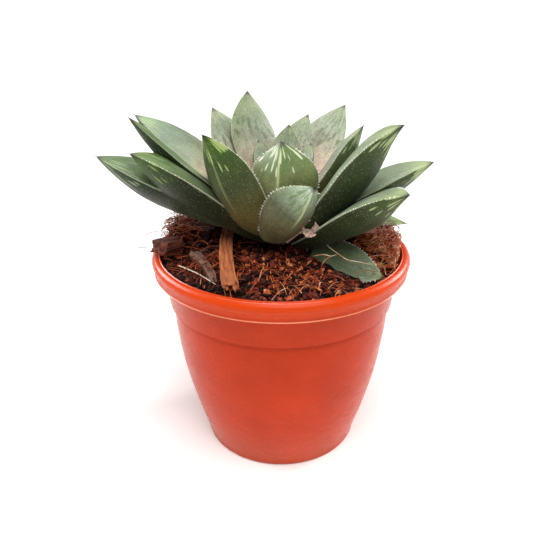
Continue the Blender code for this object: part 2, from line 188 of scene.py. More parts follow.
def stamp(bm, blank, place, **fields):
    """Add a copy of a blank to bm, each point moved by place, and fill in its fields.

    Nothing may have been deleted from bm, or the copy's points are not the last ones.
    """
    start = len(bm.verts)
    bm.from_mesh(blank)
    bm.verts.ensure_lookup_table()
    layers = [(bm.verts.layers.float[field], value) for field, value in fields.items()]
    for index in range(start, len(bm.verts)):
        vert = bm.verts[index]
        vert.co = place(vert.co)
        for layer, value in layers:
            vert[layer] = value


def make_piece(name, bm, mat, nodes=(), smooth=True):
    """A finished piece that rides on the object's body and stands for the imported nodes."""
    mesh = bpy.data.meshes.new(name)
    bm.to_mesh(mesh)
    bm.free()
    mesh.materials.append(mat)
    if smooth:
        mesh.shade_smooth()
        mesh.set_sharp_from_angle(angle=SHARP_ANGLE)
    piece = bpy.data.objects.new(name, mesh)
    bpy.context.scene.collection.objects.link(piece)
    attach(piece, BODY)
    if nodes:
        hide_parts(*nodes)
    return piece


def turned(profile, steps):
    """A bmesh turned about Z from (radius, height) points that run down its outer side."""
    bm = bmesh.new()
    verts = [bm.verts.new((radius, 0.0, height)) for radius, height in profile]
    edges = [bm.edges.new(pair) for pair in zip(verts, verts[1:])]
    bmesh.ops.spin(bm, geom=verts + edges, cent=(0, 0, 0), axis=(0, 0, 1),
                   angle=math.tau, steps=steps, use_merge=True, use_duplicate=False)
    bmesh.ops.remove_doubles(bm, verts=bm.verts, dist=SEAM)
    bmesh.ops.recalc_face_normals(bm, faces=bm.faces)
    return bm


def arc(centre, radius, start, end, steps):
    """Points on an arc in the profile plane, angles in degrees from +X."""
    angles = [math.radians(start + (end - start) * step / steps) for step in range(steps + 1)]
    return [(centre[0] + radius * math.cos(angle), centre[1] + radius * math.sin(angle))
            for angle in angles]


def along_path(points, share):
    """A point on the smooth curve that the points pull, from share 0 to 1."""
    points = list(points)
    while len(points) > 1:
        points = [first.lerp(second, share) for first, second in zip(points, points[1:])]
    return points[0]


def through_points(points, share):
    """A point on a smooth curve through all the points, from share 0 to 1."""
    last = len(points) - 1
    index = min(int(share * last), last - 1)
    local = share * last - index
    here, there = points[index], points[index + 1]
    before = points[index - 1] if index else here * 2 - there
    after = points[index + 2] if index + 2 <= last else there * 2 - here
    lead, trail = (there - before) / 2, (after - here) / 2
    square, cube = local ** 2, local ** 3
    return (here * (2 * cube - 3 * square + 1) + lead * (cube - 2 * square + local)
            + there * (3 * square - 2 * cube) + trail * (cube - square))


def tube_blank(sides, rings):
    """A closed unit tube along +Z, to be bent onto a path."""
    bm = bmesh.new()
    bmesh.ops.create_cone(bm, cap_ends=True, segments=sides, radius1=1, radius2=1, depth=1,
                          matrix=Matrix.Translation((0, 0, 0.5)))
    length_edges = [edge for edge in bm.edges
                    if abs(edge.verts[0].co.z - edge.verts[1].co.z) > 0.5]
    bmesh.ops.subdivide_edges(bm, edges=length_edges, cuts=rings - 1, use_grid_fill=True)
    return blank_mesh(bm)


def onto_path(path, radius):
    """A placing function that bends a unit tube onto path, as thick as radius(share) says."""
    step = 0.02                    # share of the path over which its direction is taken

    @lru_cache(maxsize=None)
    def section(share):
        ahead = (path(min(share + step, 1.0)) - path(max(share - step, 0.0))).normalized()
        across = ahead.cross(NEAR_UP).normalized()
        return path(share), across, ahead.cross(across), radius(share)

    def place(point):
        centre, across, upward, size = section(round(point.z, 4))
        return centre + (across * point.x + upward * point.y) * size
    return place


# ---------------------------------------------------------------- pot

POT_STEPS = 160
BASE_R = 30.0 * MM
RIM_BEAD_R = 2.3 * MM
MOUTH_R = 46.5 * MM
WALL = 1.6 * MM
FLOOR_TOP = 3.2 * MM
DRAIN_HOLES = 6
DRAIN_R = 2.3 * MM
DRAIN_CIRCLE_R = 19.0 * MM
BASE_RINGS = (0, 8, 14, 16, 17, 18, 19, 20, 21, 22, 25)    # mesh rings of the floor, in mm
FOOT_ROUND = 1.2 * MM              # radius of the base's rounded edge
FLASH_LINE = (49.15 * MM, 75.0 * MM)
COLLAR_TOP = (45.5 * MM, 73.6 * MM)
COLLAR_FOOT = (44.1 * MM, 62.4 * MM)
BODY_WALL = [(43.0 * MM, 61.9 * MM), (42.1 * MM, 50.0 * MM), (39.9 * MM, 34.5 * MM),
             (36.2 * MM, 18.5 * MM), (33.0 * MM, 7.5 * MM), (31.4 * MM, 2.2 * MM)]
INNER_WALL = ([(29.2 * MM, FLOOR_TOP)]
              + [(radius - WALL, z) for radius, z in reversed(BODY_WALL[:-1])]
              + [(COLLAR_TOP[0] - WALL, COLLAR_TOP[1]), (MOUTH_R - 0.2 * MM, 79.5 * MM)])


def rounded(points, steps):
    """The same profile with more points, on a smooth curve through the given ones."""
    vectors = [Vector((*point, 0.0)) for point in points]
    count = steps * (len(points) - 1)
    return [tuple(through_points(vectors, index / count).xy) for index in range(count + 1)]


def inner_radius(height):
    """Radius of the pot's inner wall at a height."""
    for (r_low, z_low), (r_high, z_high) in zip(INNER_WALL, INNER_WALL[1:]):
        if height <= z_high:
            return mix(r_low, r_high, (height - z_low) / (z_high - z_low))
    return MOUTH_R


def pot_profile():
    """From the floor's middle up the inner wall, over the rim and down to the base's middle."""
    floor = [(radius * MM, FLOOR_TOP) for radius in BASE_RINGS]
    mouth = [(MOUTH_R, RIM_TOP - 1.2 * MM), (MOUTH_R + 0.1 * MM, RIM_TOP - 0.3 * MM),
             (MOUTH_R + 0.45 * MM, RIM_TOP), (MOUTH_R + 0.8 * MM, RIM_TOP - 0.22 * MM),
             (MOUTH_R + 1.0 * MM, RIM_TOP - 0.05 * MM)]
    bead = arc((RIM_R - RIM_BEAD_R, RIM_TOP - RIM_BEAD_R), RIM_BEAD_R, 80, -48, 14)
    under = [(FLASH_LINE[0] - 0.15 * MM, FLASH_LINE[1] + 0.45 * MM),
             (FLASH_LINE[0] + 0.12 * MM, FLASH_LINE[1] + 0.2 * MM),
             (FLASH_LINE[0] + 0.1 * MM, FLASH_LINE[1]),
             (FLASH_LINE[0] - 0.3 * MM, FLASH_LINE[1] - 0.12 * MM),
             (46.3 * MM, 74.6 * MM), (45.7 * MM, 74.2 * MM)]
    collar = [COLLAR_TOP, (COLLAR_FOOT[0] + 0.15 * MM, COLLAR_FOOT[1] + 0.6 * MM),
              (COLLAR_FOOT[0] + 0.05 * MM, COLLAR_FOOT[1] + 0.15 * MM),
              (COLLAR_FOOT[0] - 0.35 * MM, COLLAR_FOOT[1]),
              (COLLAR_FOOT[0] - 1.25 * MM, COLLAR_FOOT[1] - 0.1 * MM)]
    foot = arc((BASE_R + 0.2 * MM, FOOT_ROUND), FOOT_ROUND, 0, -90, 6)
    base = [(radius * MM, 0.0) for radius in (28, *reversed(BASE_RINGS))]
    return (floor + rounded(INNER_WALL, 3) + mouth + bead + under + collar
            + rounded(BODY_WALL, 4) + foot + base)


def drill_drain_holes(bm):
    """Open the holes in the floor and wall them from its top to its underside."""
    for index in range(DRAIN_HOLES):
        angle = math.tau * index / DRAIN_HOLES
        centre = Vector((math.cos(angle), math.sin(angle), 0.0)) * DRAIN_CIRCLE_R
        inside = [face for face in bm.faces
                  if face.calc_center_median().z < FLOOR_TOP + SEAM
                  and abs(face.normal.z) > 0.9
                  and (face.calc_center_median().xy - centre.xy).length < DRAIN_R]
        bmesh.ops.delete(bm, geom=inside, context='FACES')
        ring = [edge for edge in bm.edges if edge.is_boundary]
        for vert in {vert for edge in ring for vert in edge.verts}:
            spoke = (vert.co.xy - centre.xy).normalized() * DRAIN_R
            vert.co.x, vert.co.y = centre.x + spoke.x, centre.y + spoke.y
        bmesh.ops.bridge_loops(bm, edges=ring)


def moulded_polypropylene(colour):
    """Injection-moulded polypropylene in terracotta orange.

    The steel mould leaves a satin skin: soft broad highlights, a faint cloudiness in the
    pigment, fine handling scuffs and a trace of pale dust near the foot. A pale painted highlight
    runs along the parting line, and painted light makes the rim's top a brighter orange.
    """
    mat, shader, add = new_material("moulded_polypropylene", specular_ior_level=0.15,
                                    ior=1.49)
    place = add('ShaderNodeTexCoord').outputs['Object']
    pigment = add('ShaderNodeValToRGB', {'Fac': cloudy(add, place, 22 * MM, 4.0)},
                  stops=[(0.3, "#000000"), (0.7, "#FFFFFF")])
    deep, bright = pigment.color_ramp.elements
    deep.color = [channel * 0.9 for channel in colour[:3]] + [1.0]
    bright.color = [min(channel * 1.08, 1.0) for channel in colour[:3]] + [1.0]
    height = add('ShaderNodeSeparateXYZ', {'Vector': place}).outputs['Z']
    grit = cloudy(add, place, 1.4 * MM, 5.0, 0.7)
    dust = combine(add, 'MULTIPLY', grit, remap(add, height, 22 * MM, 0.0, 0.0, 0.35))
    # Painted light: the rim's top is made a brighter orange, as if lit more strongly from above.
    painted_rim_light = remap(add, height, 75.2 * MM, 77.2 * MM, 0.0, 0.7)
    # Painted highlight: a pale line along the parting line below the rim.
    off_line = combine(add, 'SUBTRACT', height, FLASH_LINE[1] + 0.12 * MM)
    parting_line_highlight = remap(add, combine(add, 'ABSOLUTE', off_line), 0.34 * MM, 0.12 * MM, 0.0, 0.75)
    skin = pigment.outputs['Color']
    for share, tint in ((dust, "#C98B72"), (painted_rim_light, "#D6440E"), (parting_line_highlight, "#F2A078")):
        skin = blend(add, share, skin, linear(tint))
    scuffs = cloudy(add, stretched(add, place, (1, 1, 2)), 16 * MM, 6.0, 0.75)
    return finished(mat, shader, skin,
                    relief(add, cloudy(add, place, 0.9 * MM, 3.0), 0.06, 0.05 * MM),
                    remap(add, scuffs, 0.35, 0.75, 0.24, 0.34))


# ---------------------------------------------------------------- growing medium

SOIL_CENTRE = 84.5 * MM            # height beside the stem
SOIL_FRONT = 77.5 * MM             # height at the front of the rim
SOIL_SIDE_RISE = 10.5 * MM         # how much higher it is heaped at the sides and back
SOIL_HEAP_R = 43.0 * MM            # radius of the heap's shoulder
SOIL_BACK_DROP = 3.0 * MM          # how far it falls off again at the very back
SOIL_STEPS = 200
SOIL_RINGS = 59
SOIL_RING_STEP = 0.75 * MM
SOIL_GAP = 0.3 * MM                # between the medium and the pot
SHOULDER_R = 45.0 * MM             # where the heap meets the pot's wall
SHOULDER_BASE = 55.5 * MM          # the shoulder's height is this plus a share of the heap's
SHOULDER_RISE = 0.3
WALL_HEIGHTS = (79, 74, 66, 56, 46, 34.5, 18.5, 7.5)       # mm
LUMPS = [(11 * MM, 1.0 * MM), (4.2 * MM, 0.9 * MM), (1.9 * MM, 0.45 * MM)]   # spacing, height


def soil_height(x, y):
    """Top of the heap: low at the front, heaped above the rim at the sides and back."""
    radius = max(math.hypot(x, y), MM)
    backwards = smoothstep(-0.6, 0.15, y / radius)
    at_rim = (SOIL_FRONT + SOIL_SIDE_RISE * backwards
              - SOIL_BACK_DROP * max(0.0, y / radius) ** 4)
    share = min(radius / SOIL_HEAP_R, 1.0) ** 2
    return mix(SOIL_CENTRE, at_rim, share) + LUMPS[0][1] * noise.noise(
        Vector((x, y, 0.0)) / LUMPS[0][0])


def crumbly(x, y):
    """The heap's surface with its clods and fine lumps."""
    return soil_height(x, y) + sum(
        height * noise.noise(Vector((x, y, 0.0)) / spacing) for spacing, height in LUMPS[1:])


def heap_surface():
    """The closed body of the medium, filling the pot up to its crumbly heap."""
    top = [(ring * SOIL_RING_STEP, RIM_TOP) for ring in range(SOIL_RINGS)]
    edge = [(mix(top[-1][0], SHOULDER_R, share), RIM_TOP) for share in (0.4, 0.75, 1.0)]
    wall = [(inner_radius(z * MM) - SOIL_GAP, z * MM) for z in WALL_HEIGHTS]
    bottom = [(inner_radius(FLOOR_TOP) - SOIL_GAP, FLOOR_TOP + SOIL_GAP),
              (0.0, FLOOR_TOP + SOIL_GAP)]
    bm = turned(top + edge + wall + bottom, SOIL_STEPS)
    for vert in bm.verts:
        x, y, z = vert.co
        if z > RIM_TOP - SEAM:
            drop = smoothstep(SOIL_HEAP_R, SHOULDER_R, math.hypot(x, y))
            shoulder = SHOULDER_RISE * soil_height(x, y) + SHOULDER_BASE
            vert.co.z = mix(crumbly(x, y), shoulder, drop ** 2)
    return bm


def coir_pith():
    """Damp coir pith: dust and fine crumbs that dry matt, from near black to rust red."""
    mat, shader, add = new_material("coir_pith", roughness=0.95, specular_ior_level=0.1)
    place = add('ShaderNodeTexCoord').outputs['Object']
    grains = add('ShaderNodeTexVoronoi', {'Vector': place, 'Scale': 1 / (1.5 * MM)})
    # The near-black tones are partly the pith's own colour and partly painted shade for the gaps
    # between the crumbs.
    tone = ramp(add, grains.outputs['Color'],
                [(0.2, "#080403"), (0.8, "#6E2E18"), (0.45, "#1C0B06"), (0.62, "#3C170C")])
    lumps = combine(add, 'MULTIPLY', grains.outputs['Distance'],
                    cloudy(add, place, 0.8 * MM, 6.0))
    return finished(mat, shader, tone, relief(add, lumps, 0.9, 0.8 * MM, invert=True))


def coir_crumb():
    """Chopped coconut husk: porous crumbs, each its own rust, orange or dark brown."""
    mat, shader, add = new_material("coir_crumb", roughness=0.7, specular_ior_level=0.2)
    place = add('ShaderNodeTexCoord').outputs['Object']
    shade = add('ShaderNodeAttribute', attribute_name="shade").outputs['Fac']
    mottle = cloudy(add, place, 0.9 * MM, 5.0, 0.7)
    tone = ramp(add, combine(add, 'ADD', shade, remap(add, mottle, 0.3, 0.7, -0.22, 0.22)),
                [(0.0, "#0C0504"), (1.0, "#F0B27C"), (0.25, "#28100C"), (0.45, "#6A2A1C"),
                 (0.62, "#A4462A"), (0.8, "#D0703E")])
    return finished(mat, shader, tone, relief(add, mottle, 0.8, 0.4 * MM))


def coir_fibre():
    """Coir fibre: stiff hairs of coconut husk, chestnut to straw, with a slight shine."""
    mat, shader, add = new_material("coir_fibre", roughness=0.6, specular_ior_level=0.4)
    place = add('ShaderNodeTexCoord').outputs['Object']
    shade = add('ShaderNodeAttribute', attribute_name="shade").outputs['Fac']
    fleck = cloudy(add, place, 2.5 * MM, 3.0)
    tone = ramp(add, combine(add, 'ADD', shade, remap(add, fleck, 0.3, 0.7, -0.12, 0.12)),
                [(0.0, "#2E100A"), (1.0, "#EADBC0"), (0.3, "#7C2E18"), (0.55, "#B6542A"),
                 (0.8, "#CE7C46")])
    return finished(mat, shader, tone)


CRUMB_BLANKS = 6
CRUMB_JAG = 0.9                    # how far a crumb's points stray in and out
CRUMB_JITTER = 0.18
CRUMB_REACH = 45.3 * MM            # how far from the stem crumbs lie
FINEST_CRUMB = 0.7 * MM
FINEST_CHIP = 1.7 * MM
CHIP_SCALE = 1.8                   # the largest chip, beside the largest crumb
FRONTWARD = (20 * MM, -35 * MM)    # y over which the crumbs get coarser
LEFTWARD = (-8 * MM, -30 * MM)     # x over which they get darker
PAINTED_LIGHT_RIGHT = (22 * MM, 36 * MM)     # x over which they get paler, as painted light on the right of the heap
NEAR_STEM = 7 * MM                 # no crumb lies closer to the stem than this
CLEARINGS = [   # ends of a line and its half-width (mm), where no crumb lies
    ((-20.5, 4.0), (-17.2, -35.5), 3.4),
    ((-31.5, -12.5), (-24.0, -28.0), 2.4),
    ((14.0, -12.5), (34.5, -25.5), 5.6),
    ((-47.0, -9.5), (-38.0, -7.5), 5.0),
]


def in_clearing(x, y):
    """Whether a crumb here would cover a larger piece."""
    spot = Vector((x, y)) / MM
    for start, end, half_width in CLEARINGS:
        start, end = Vector(start), Vector(end)
        line = end - start
        share = min(max((spot - start).dot(line) / line.length_squared, 0.0), 1.0)
        if (spot - start - line * share).length < half_width:
            return True
    return False


def crumb_blanks(rng):
    """A few jagged crumbs about 1 across."""
    blanks = []
    for index in range(CRUMB_BLANKS):
        bm = bmesh.new()
        bmesh.ops.create_icosphere(bm, subdivisions=1 + index % 2, radius=0.5)
        shift = Vector((index * 3.7, 0.0, 0.0))
        for vert in bm.verts:
            vert.co *= (1 + CRUMB_JAG * noise.noise(vert.co * 3.2 + shift)
                        + rng.uniform(-CRUMB_JITTER, CRUMB_JITTER))
        blanks.append(blank_mesh(bm))
    return blanks


def scatter_crumbs(bm, rng, count, size_range):
    """Strew crumbs over the heap: coarser towards the front, brighter towards the right."""
    blanks = crumb_blanks(rng)
    for _ in range(count):
        radius = CRUMB_REACH * math.sqrt(rng.random())
        heading = rng.uniform(0, math.tau)
        x, y = radius * math.cos(heading), radius * math.sin(heading)
        if radius < NEAR_STEM or in_clearing(x, y):
            continue
        front = smoothstep(*FRONTWARD, y)
        leftward = smoothstep(*LEFTWARD, x)
        size = rng.uniform(*size_range) * mix(0.8, 1.15, front)
        # Painted light makes the crumbs paler on the right; the skew towards dark crumbs is partly
        # painted shade for the gaps between them.
        painted_light_right = smoothstep(*PAINTED_LIGHT_RIGHT, x)
        shade = (rng.betavariate(1.0, 1.8) * mix(0.85, 1.0, front) * mix(1.0, 0.62, leftward)
                 + 0.38 * painted_light_right)
        spin = Matrix.Rotation(rng.uniform(0, math.tau), 3, Vector(
            (rng.uniform(-1, 1), rng.uniform(-1, 1), rng.uniform(-1, 1))).normalized())
        stretch = Matrix.Diagonal((size * rng.uniform(0.9, 1.7), size * rng.uniform(0.6, 1.0),
                                   size * rng.uniform(0.35, 0.9)))
        turn = spin @ stretch
        spot = Vector((x, y, crumbly(x, y) + size * rng.uniform(-0.1, 0.35)))
        stamp(bm, rng.choice(blanks), lambda point: spot + turn @ point, shade=shade)


# name, thickness, shade, then points in mm that the strand passes through
STRANDS = [
    ("straw", 0.5, 0.97, [(-37.1, -19.5, 82.5), (-30.0, -25.3, 82.2), (-22.7, -31.2, 80.6)]),
    ("loop_root", 0.42, 0.9, [(9.6, -9.7, 84.0), (10.2, -12.5, 88.0), (11.0, -14.8, 90.4),
                              (12.9, -13.9, 90.8), (15.6, -14.4, 89.8), (18.0, -17.8, 88.6),
                              (20.4, -20.9, 87.9), (23.4, -24.1, 86.9), (26.6, -24.2, 86.3),
                              (32.8, -22.0, 84.0)]),
    ("cross_root", 0.36, 0.9, [(11.7, -17.8, 85.6), (15.2, -21.8, 87.9), (17.6, -23.9, 88.2),
                                (19.7, -22.4, 88.1)]),
    ("branch_root", 0.34, 0.85, [(14.2, -22.3, 82.0), (14.5, -24.0, 84.5), (15.4, -24.8, 86.8),
                               (17.6, -23.9, 88.2)]),
    ("left_root", 0.6, 0.72, [(-6.4, 11.0, 92.0), (-5.0, 11.9, 90.0), (-5.2, 8.8, 89.0),
                              (-7.1, 6.2, 87.6), (-8.7, 5.5, 86.6), (-11.1, 3.7, 86.0),
                              (-13.7, 0.7, 85.6), (-16.5, -3.0, 85.0)]),
    ("pale_hair_a", 0.26, 0.8, [(-6.2, -25.2, 84.6), (-6.9, -28.6, 84.2), (-7.8, -31.7, 82.2)]),
    ("pale_hair_b", 0.26, 0.85, [(1.9, -36.0, 81.6), (-0.6, -40.6, 82.4), (-3.1, -46.0, 82.1)]),
    ("pale_hair_c", 0.26, 0.8, [(-0.4, -32.5, 82.2), (0.9, -36.4, 82.4), (1.9, -40.4, 81.2)]),
    ("pale_hair_d", 0.26, 0.78, [(20.5, -38.0, 81.0), (18.6, -40.5, 82.0), (17.6, -43.5, 80.8)]),
    ("side_hair_a", 0.22, 0.25, [(-52.4, -4.0, 88.0), (-49.4, -4.3, 89.6), (-45.0, -3.9, 90.0),
                                 (-41.0, -2.0, 88.0)]),
    ("side_hair_b", 0.22, 0.2, [(-54.0, -8.7, 85.2), (-50.0, -9.5, 85.4), (-44.0, -10.6, 84.8)]),
]
TANGLES = [   # centre, spread (mm), number, longest (mm), lowest and highest shade
    # The right tangle's shades are raised as painted light.
    ((41.0, -8.0, 88.0), (4.5, 10.0, 2.4), 170, 12, 0.45, 0.95),
    ((36.0, 2.0, 89.0), (8.0, 10.0, 2.0), 90, 12, 0.3, 0.7),
    # So are the back-left tangle's: painted light where the leaves shade it.
    ((-40.0, 9.0, 90.0), (5.0, 9.0, 2.5), 150, 11, 0.45, 0.85),
    ((-38.0, 2.0, 87.5), (5.0, 9.0, 1.5), 50, 10, 0.2, 0.6),
    ((-27.0, -16.0, 84.0), (11.0, 9.0, 1.0), 90, 13, 0.15, 0.7),
    ((-5.0, -24.0, 83.0), (16.0, 8.0, 1.0), 70, 9, 0.2, 0.8),
    ((10.0, -33.0, 81.5), (24.0, 8.0, 1.0), 80, 9, 0.25, 0.85),
    ((0.0, 34.0, 86.0), (34.0, 9.0, 1.5), 110, 15, 0.2, 0.7),
]
TANGLE_START_R = 45 * MM           # how far from the stem a hair may start
TANGLE_END_R = 46 * MM             # and end
TANGLE_LIFT = 2.5 * MM             # how far above the heap it may start
HAIR_R = (0.09 * MM, 0.17 * MM)    # thinnest and thickest hair, a little coarser than life
HAIR_MESH = (3, 7)                 # sides and rings of a hair's tube
STRAND_MESH = (6, 28)


def add_strand(bm, blank, points, thickness, shade, taper=0.5):
    """A hair or fine root through points in metres."""
    def radius(share):
        return thickness / 2 * mix(1.0, taper, share ** 3)
    stamp(bm, blank, onto_path(partial(through_points, points), radius), shade=shade)


def kept_within(point, reach):
    """Pull a point in, level, to at most this distance from the stem."""
    distance = math.hypot(point.x, point.y)
    if distance > reach:
        point.xy *= reach / distance


def add_tangle(bm, blank, rng, centre, spread, count, longest, dull, bright):
    """A loose tangle of hairs that lie on the heap and bow up from it."""
    for _ in range(count):
        start = Vector([rng.gauss(middle, reach * 0.5) * MM
                        for middle, reach in zip(centre, spread)])
        kept_within(start, TANGLE_START_R)
        ground = crumbly(start.x, start.y)
        start.z = min(max(start.z, ground), ground + TANGLE_LIFT)
        heading = rng.uniform(0, math.tau)
        length = rng.uniform(0.35, 1.0) * longest * MM
        ahead = Vector((math.cos(heading), math.sin(heading), rng.uniform(-0.1, 0.25)))
        sway = Vector((-ahead.y, ahead.x, 0.0)) * rng.uniform(-0.35, 0.35) * length
        end = start + ahead * length
        kept_within(end, TANGLE_END_R)
        end.z = max(end.z, crumbly(end.x, end.y) + 0.1 * MM)
        middle = (start + end) / 2 + sway + Vector((0, 0, rng.uniform(0.05, 0.28) * length))
        path = partial(along_path, [start - Vector((0, 0, 0.6 * MM)), middle, end])
        size = rng.uniform(*HAIR_R)
        stamp(bm, blank, onto_path(path, lambda share: size), shade=rng.uniform(dull, bright))


# ---------------------------------------------------------------- husk pieces

# node, centre, length along X, width, height (mm), turn about Z, tilt about Y (degrees), tone
CHIPS = [
    ("husk_splinter_front", (-18.8, -15.5, 84.9), 41, 5.4, 3.6, 95, -9, "orange"),
    ("husk_splinter_left", (-28, -20, 82.0), 19.5, 3.9, 2.9, -64, 9, "grey"),
    ("husk_chunk_left", (-42.2, -8.5, 85.7), 9.8, 8.5, 5.6, 50, 8, "red"),
    ("husk_chunk_back_left", (-33.5, 7, 85.8), 14.5, 12, 7.4, -20, 6, "dark"),
    ("husk_chunk_right", (35, 1, 86.2), 11.5, 8, 5.5, 55, 8, "orange"),
]
HUSK_CUTS = 11                     # mesh cuts along each side
SIDE_FURROWS = 0.32                # how deep the furrows cut, as a share of the size
TOP_FURROWS = 0.4
RAGGED_ENDS = 0.26
HUSK_BOW = 0.04                    # sideways bow, as a share of the length
HUSK_TONES = {
    "orange": [(0.25, "#481A0E"), (0.75, "#DC9C60"), (0.42, "#94502F"), (0.58, "#BC6E40")],
    "grey": [(0.25, "#2E1D18"), (0.75, "#A98672"), (0.42, "#5E4238"), (0.58, "#80604F")],
    "red": [(0.25, "#24100C"), (0.75, "#94503A"), (0.42, "#50261C"), (0.58, "#723A28")],
    "dark": [(0.25, "#180A08"), (0.75, "#783A2C"), (0.42, "#34150F"), (0.58, "#50241A")],
}


def split_husk(tone):
    """Split coconut husk and bark: long torn fibres give dark furrows and pale ridges."""
    mat, shader, add = new_material("split_husk_" + tone, roughness=0.85,
                                    specular_ior_level=0.3)
    place = add('ShaderNodeAttribute', attribute_name="grain").outputs['Vector']
    streaks = cloudy(add, stretched(add, place, (0.12, 1, 1)), 0.75 * MM, 5.0, 0.65)
    both = add('ShaderNodeMix', {0: 0.35, 2: streaks, 3: cloudy(add, place, 5 * MM, 3.0)},
               data_type='FLOAT').outputs[0]
    return finished(mat, shader, ramp(add, both, HUSK_TONES[tone]),
                    relief(add, streaks, 1.0, 0.5 * MM))


def husk_bmesh(centre, length, width, height, turn, tilt):
    """A torn piece: a block whose sides are furrowed along its grain and whose ends are ragged."""
    bm = bmesh.new()
    grain = bm.verts.layers.float_vector.new("grain")
    bmesh.ops.create_cube(bm, size=1.0)
    bmesh.ops.subdivide_edges(bm, edges=bm.edges, cuts=HUSK_CUTS, use_grid_fill=True)
    bmesh.ops.smooth_vert(bm, verts=bm.verts, factor=0.5, use_axis_x=False, use_axis_y=True,
                          use_axis_z=True)
    place = (Matrix.Translation(Vector(centre) * MM)
             @ Matrix.Rotation(math.radians(turn), 4, 'Z')
             @ Matrix.Rotation(math.radians(tilt), 4, 'Y'))
    for vert in bm.verts:
        x, y, z = vert.co
        furrow = noise.noise(Vector((x * length * 0.08, y * width * 1.1, z * height * 1.1)))
        ragged = noise.noise(Vector((y * width * 0.9, z * height * 0.9, length)))
        y *= (0.85 - 0.25 * x) * (1 + SIDE_FURROWS * furrow)
        z *= (0.9 + 0.35 * x * y) * (1 + TOP_FURROWS * furrow)
        x *= 1 + RAGGED_ENDS * ragged
        size = Vector((x * length, y * width, z * height)) * MM
        vert[grain] = size + Vector((length, width, height)) * MM
        bow = HUSK_BOW * length * MM * math.cos(math.pi * x)
        vert.co = place @ (size + Vector((0.0, bow, 0.0)))
    bmesh.ops.recalc_face_normals(bm, faces=bm.faces)
    return bm


# ---------------------------------------------------------------- leaves

LEAF_RINGS = 72
LEAF_SIDES = 48
LEAF_ROOT_R = 2.0 * MM             # where a leaf's centre line starts, inside the stem
BASE_WIDTH = 0.55                  # width at the root, as a share of the widest
CROWN = 0.04                       # rise of the upper face, as a share of the width
FLESH_END = 0.988                  # where the flesh ends along the leaf and its bristle begins
BRISTLE_START = 0.955
BRISTLE_R = 0.36 * MM
BRISTLE_MESH = (8, 10)             # sides and rings of its tube
TOOTH_SPACING = 1.15 * MM
TEETH_START = 0.1                  # where the teeth start along the leaf
TEETH_RUN = 0.85                   # and how much of its length they take up
TOOTH_THICKNESS = 0.32             # as a share of its length
POINT_CURVE = 1.9                  # higher keeps the leaf wide for longer before its point
KEEL_WIDEST = 0.95                 # the back is deepest a little nearer the root
KEEL_CURVE = 0.9
KEEL_SHARPENING = 0.35             # how much sharper the keel gets towards the tip
ROOT_THINNING = 0.35               # share of its depth that the back loses at the root
SWELL_SPACING = 7 * MM             # soft dents and swells of the flesh
SWELL_HEIGHT = 0.25 * MM
LEAF_FIELDS = ("along", "side", "rise", "ridge", "seed", "tooth")

LeafPlan = namedtuple(
    "LeafPlan", "name heading reach tip root width thickness start end roll swing widest foot "
                "skin keel sharp teeth")

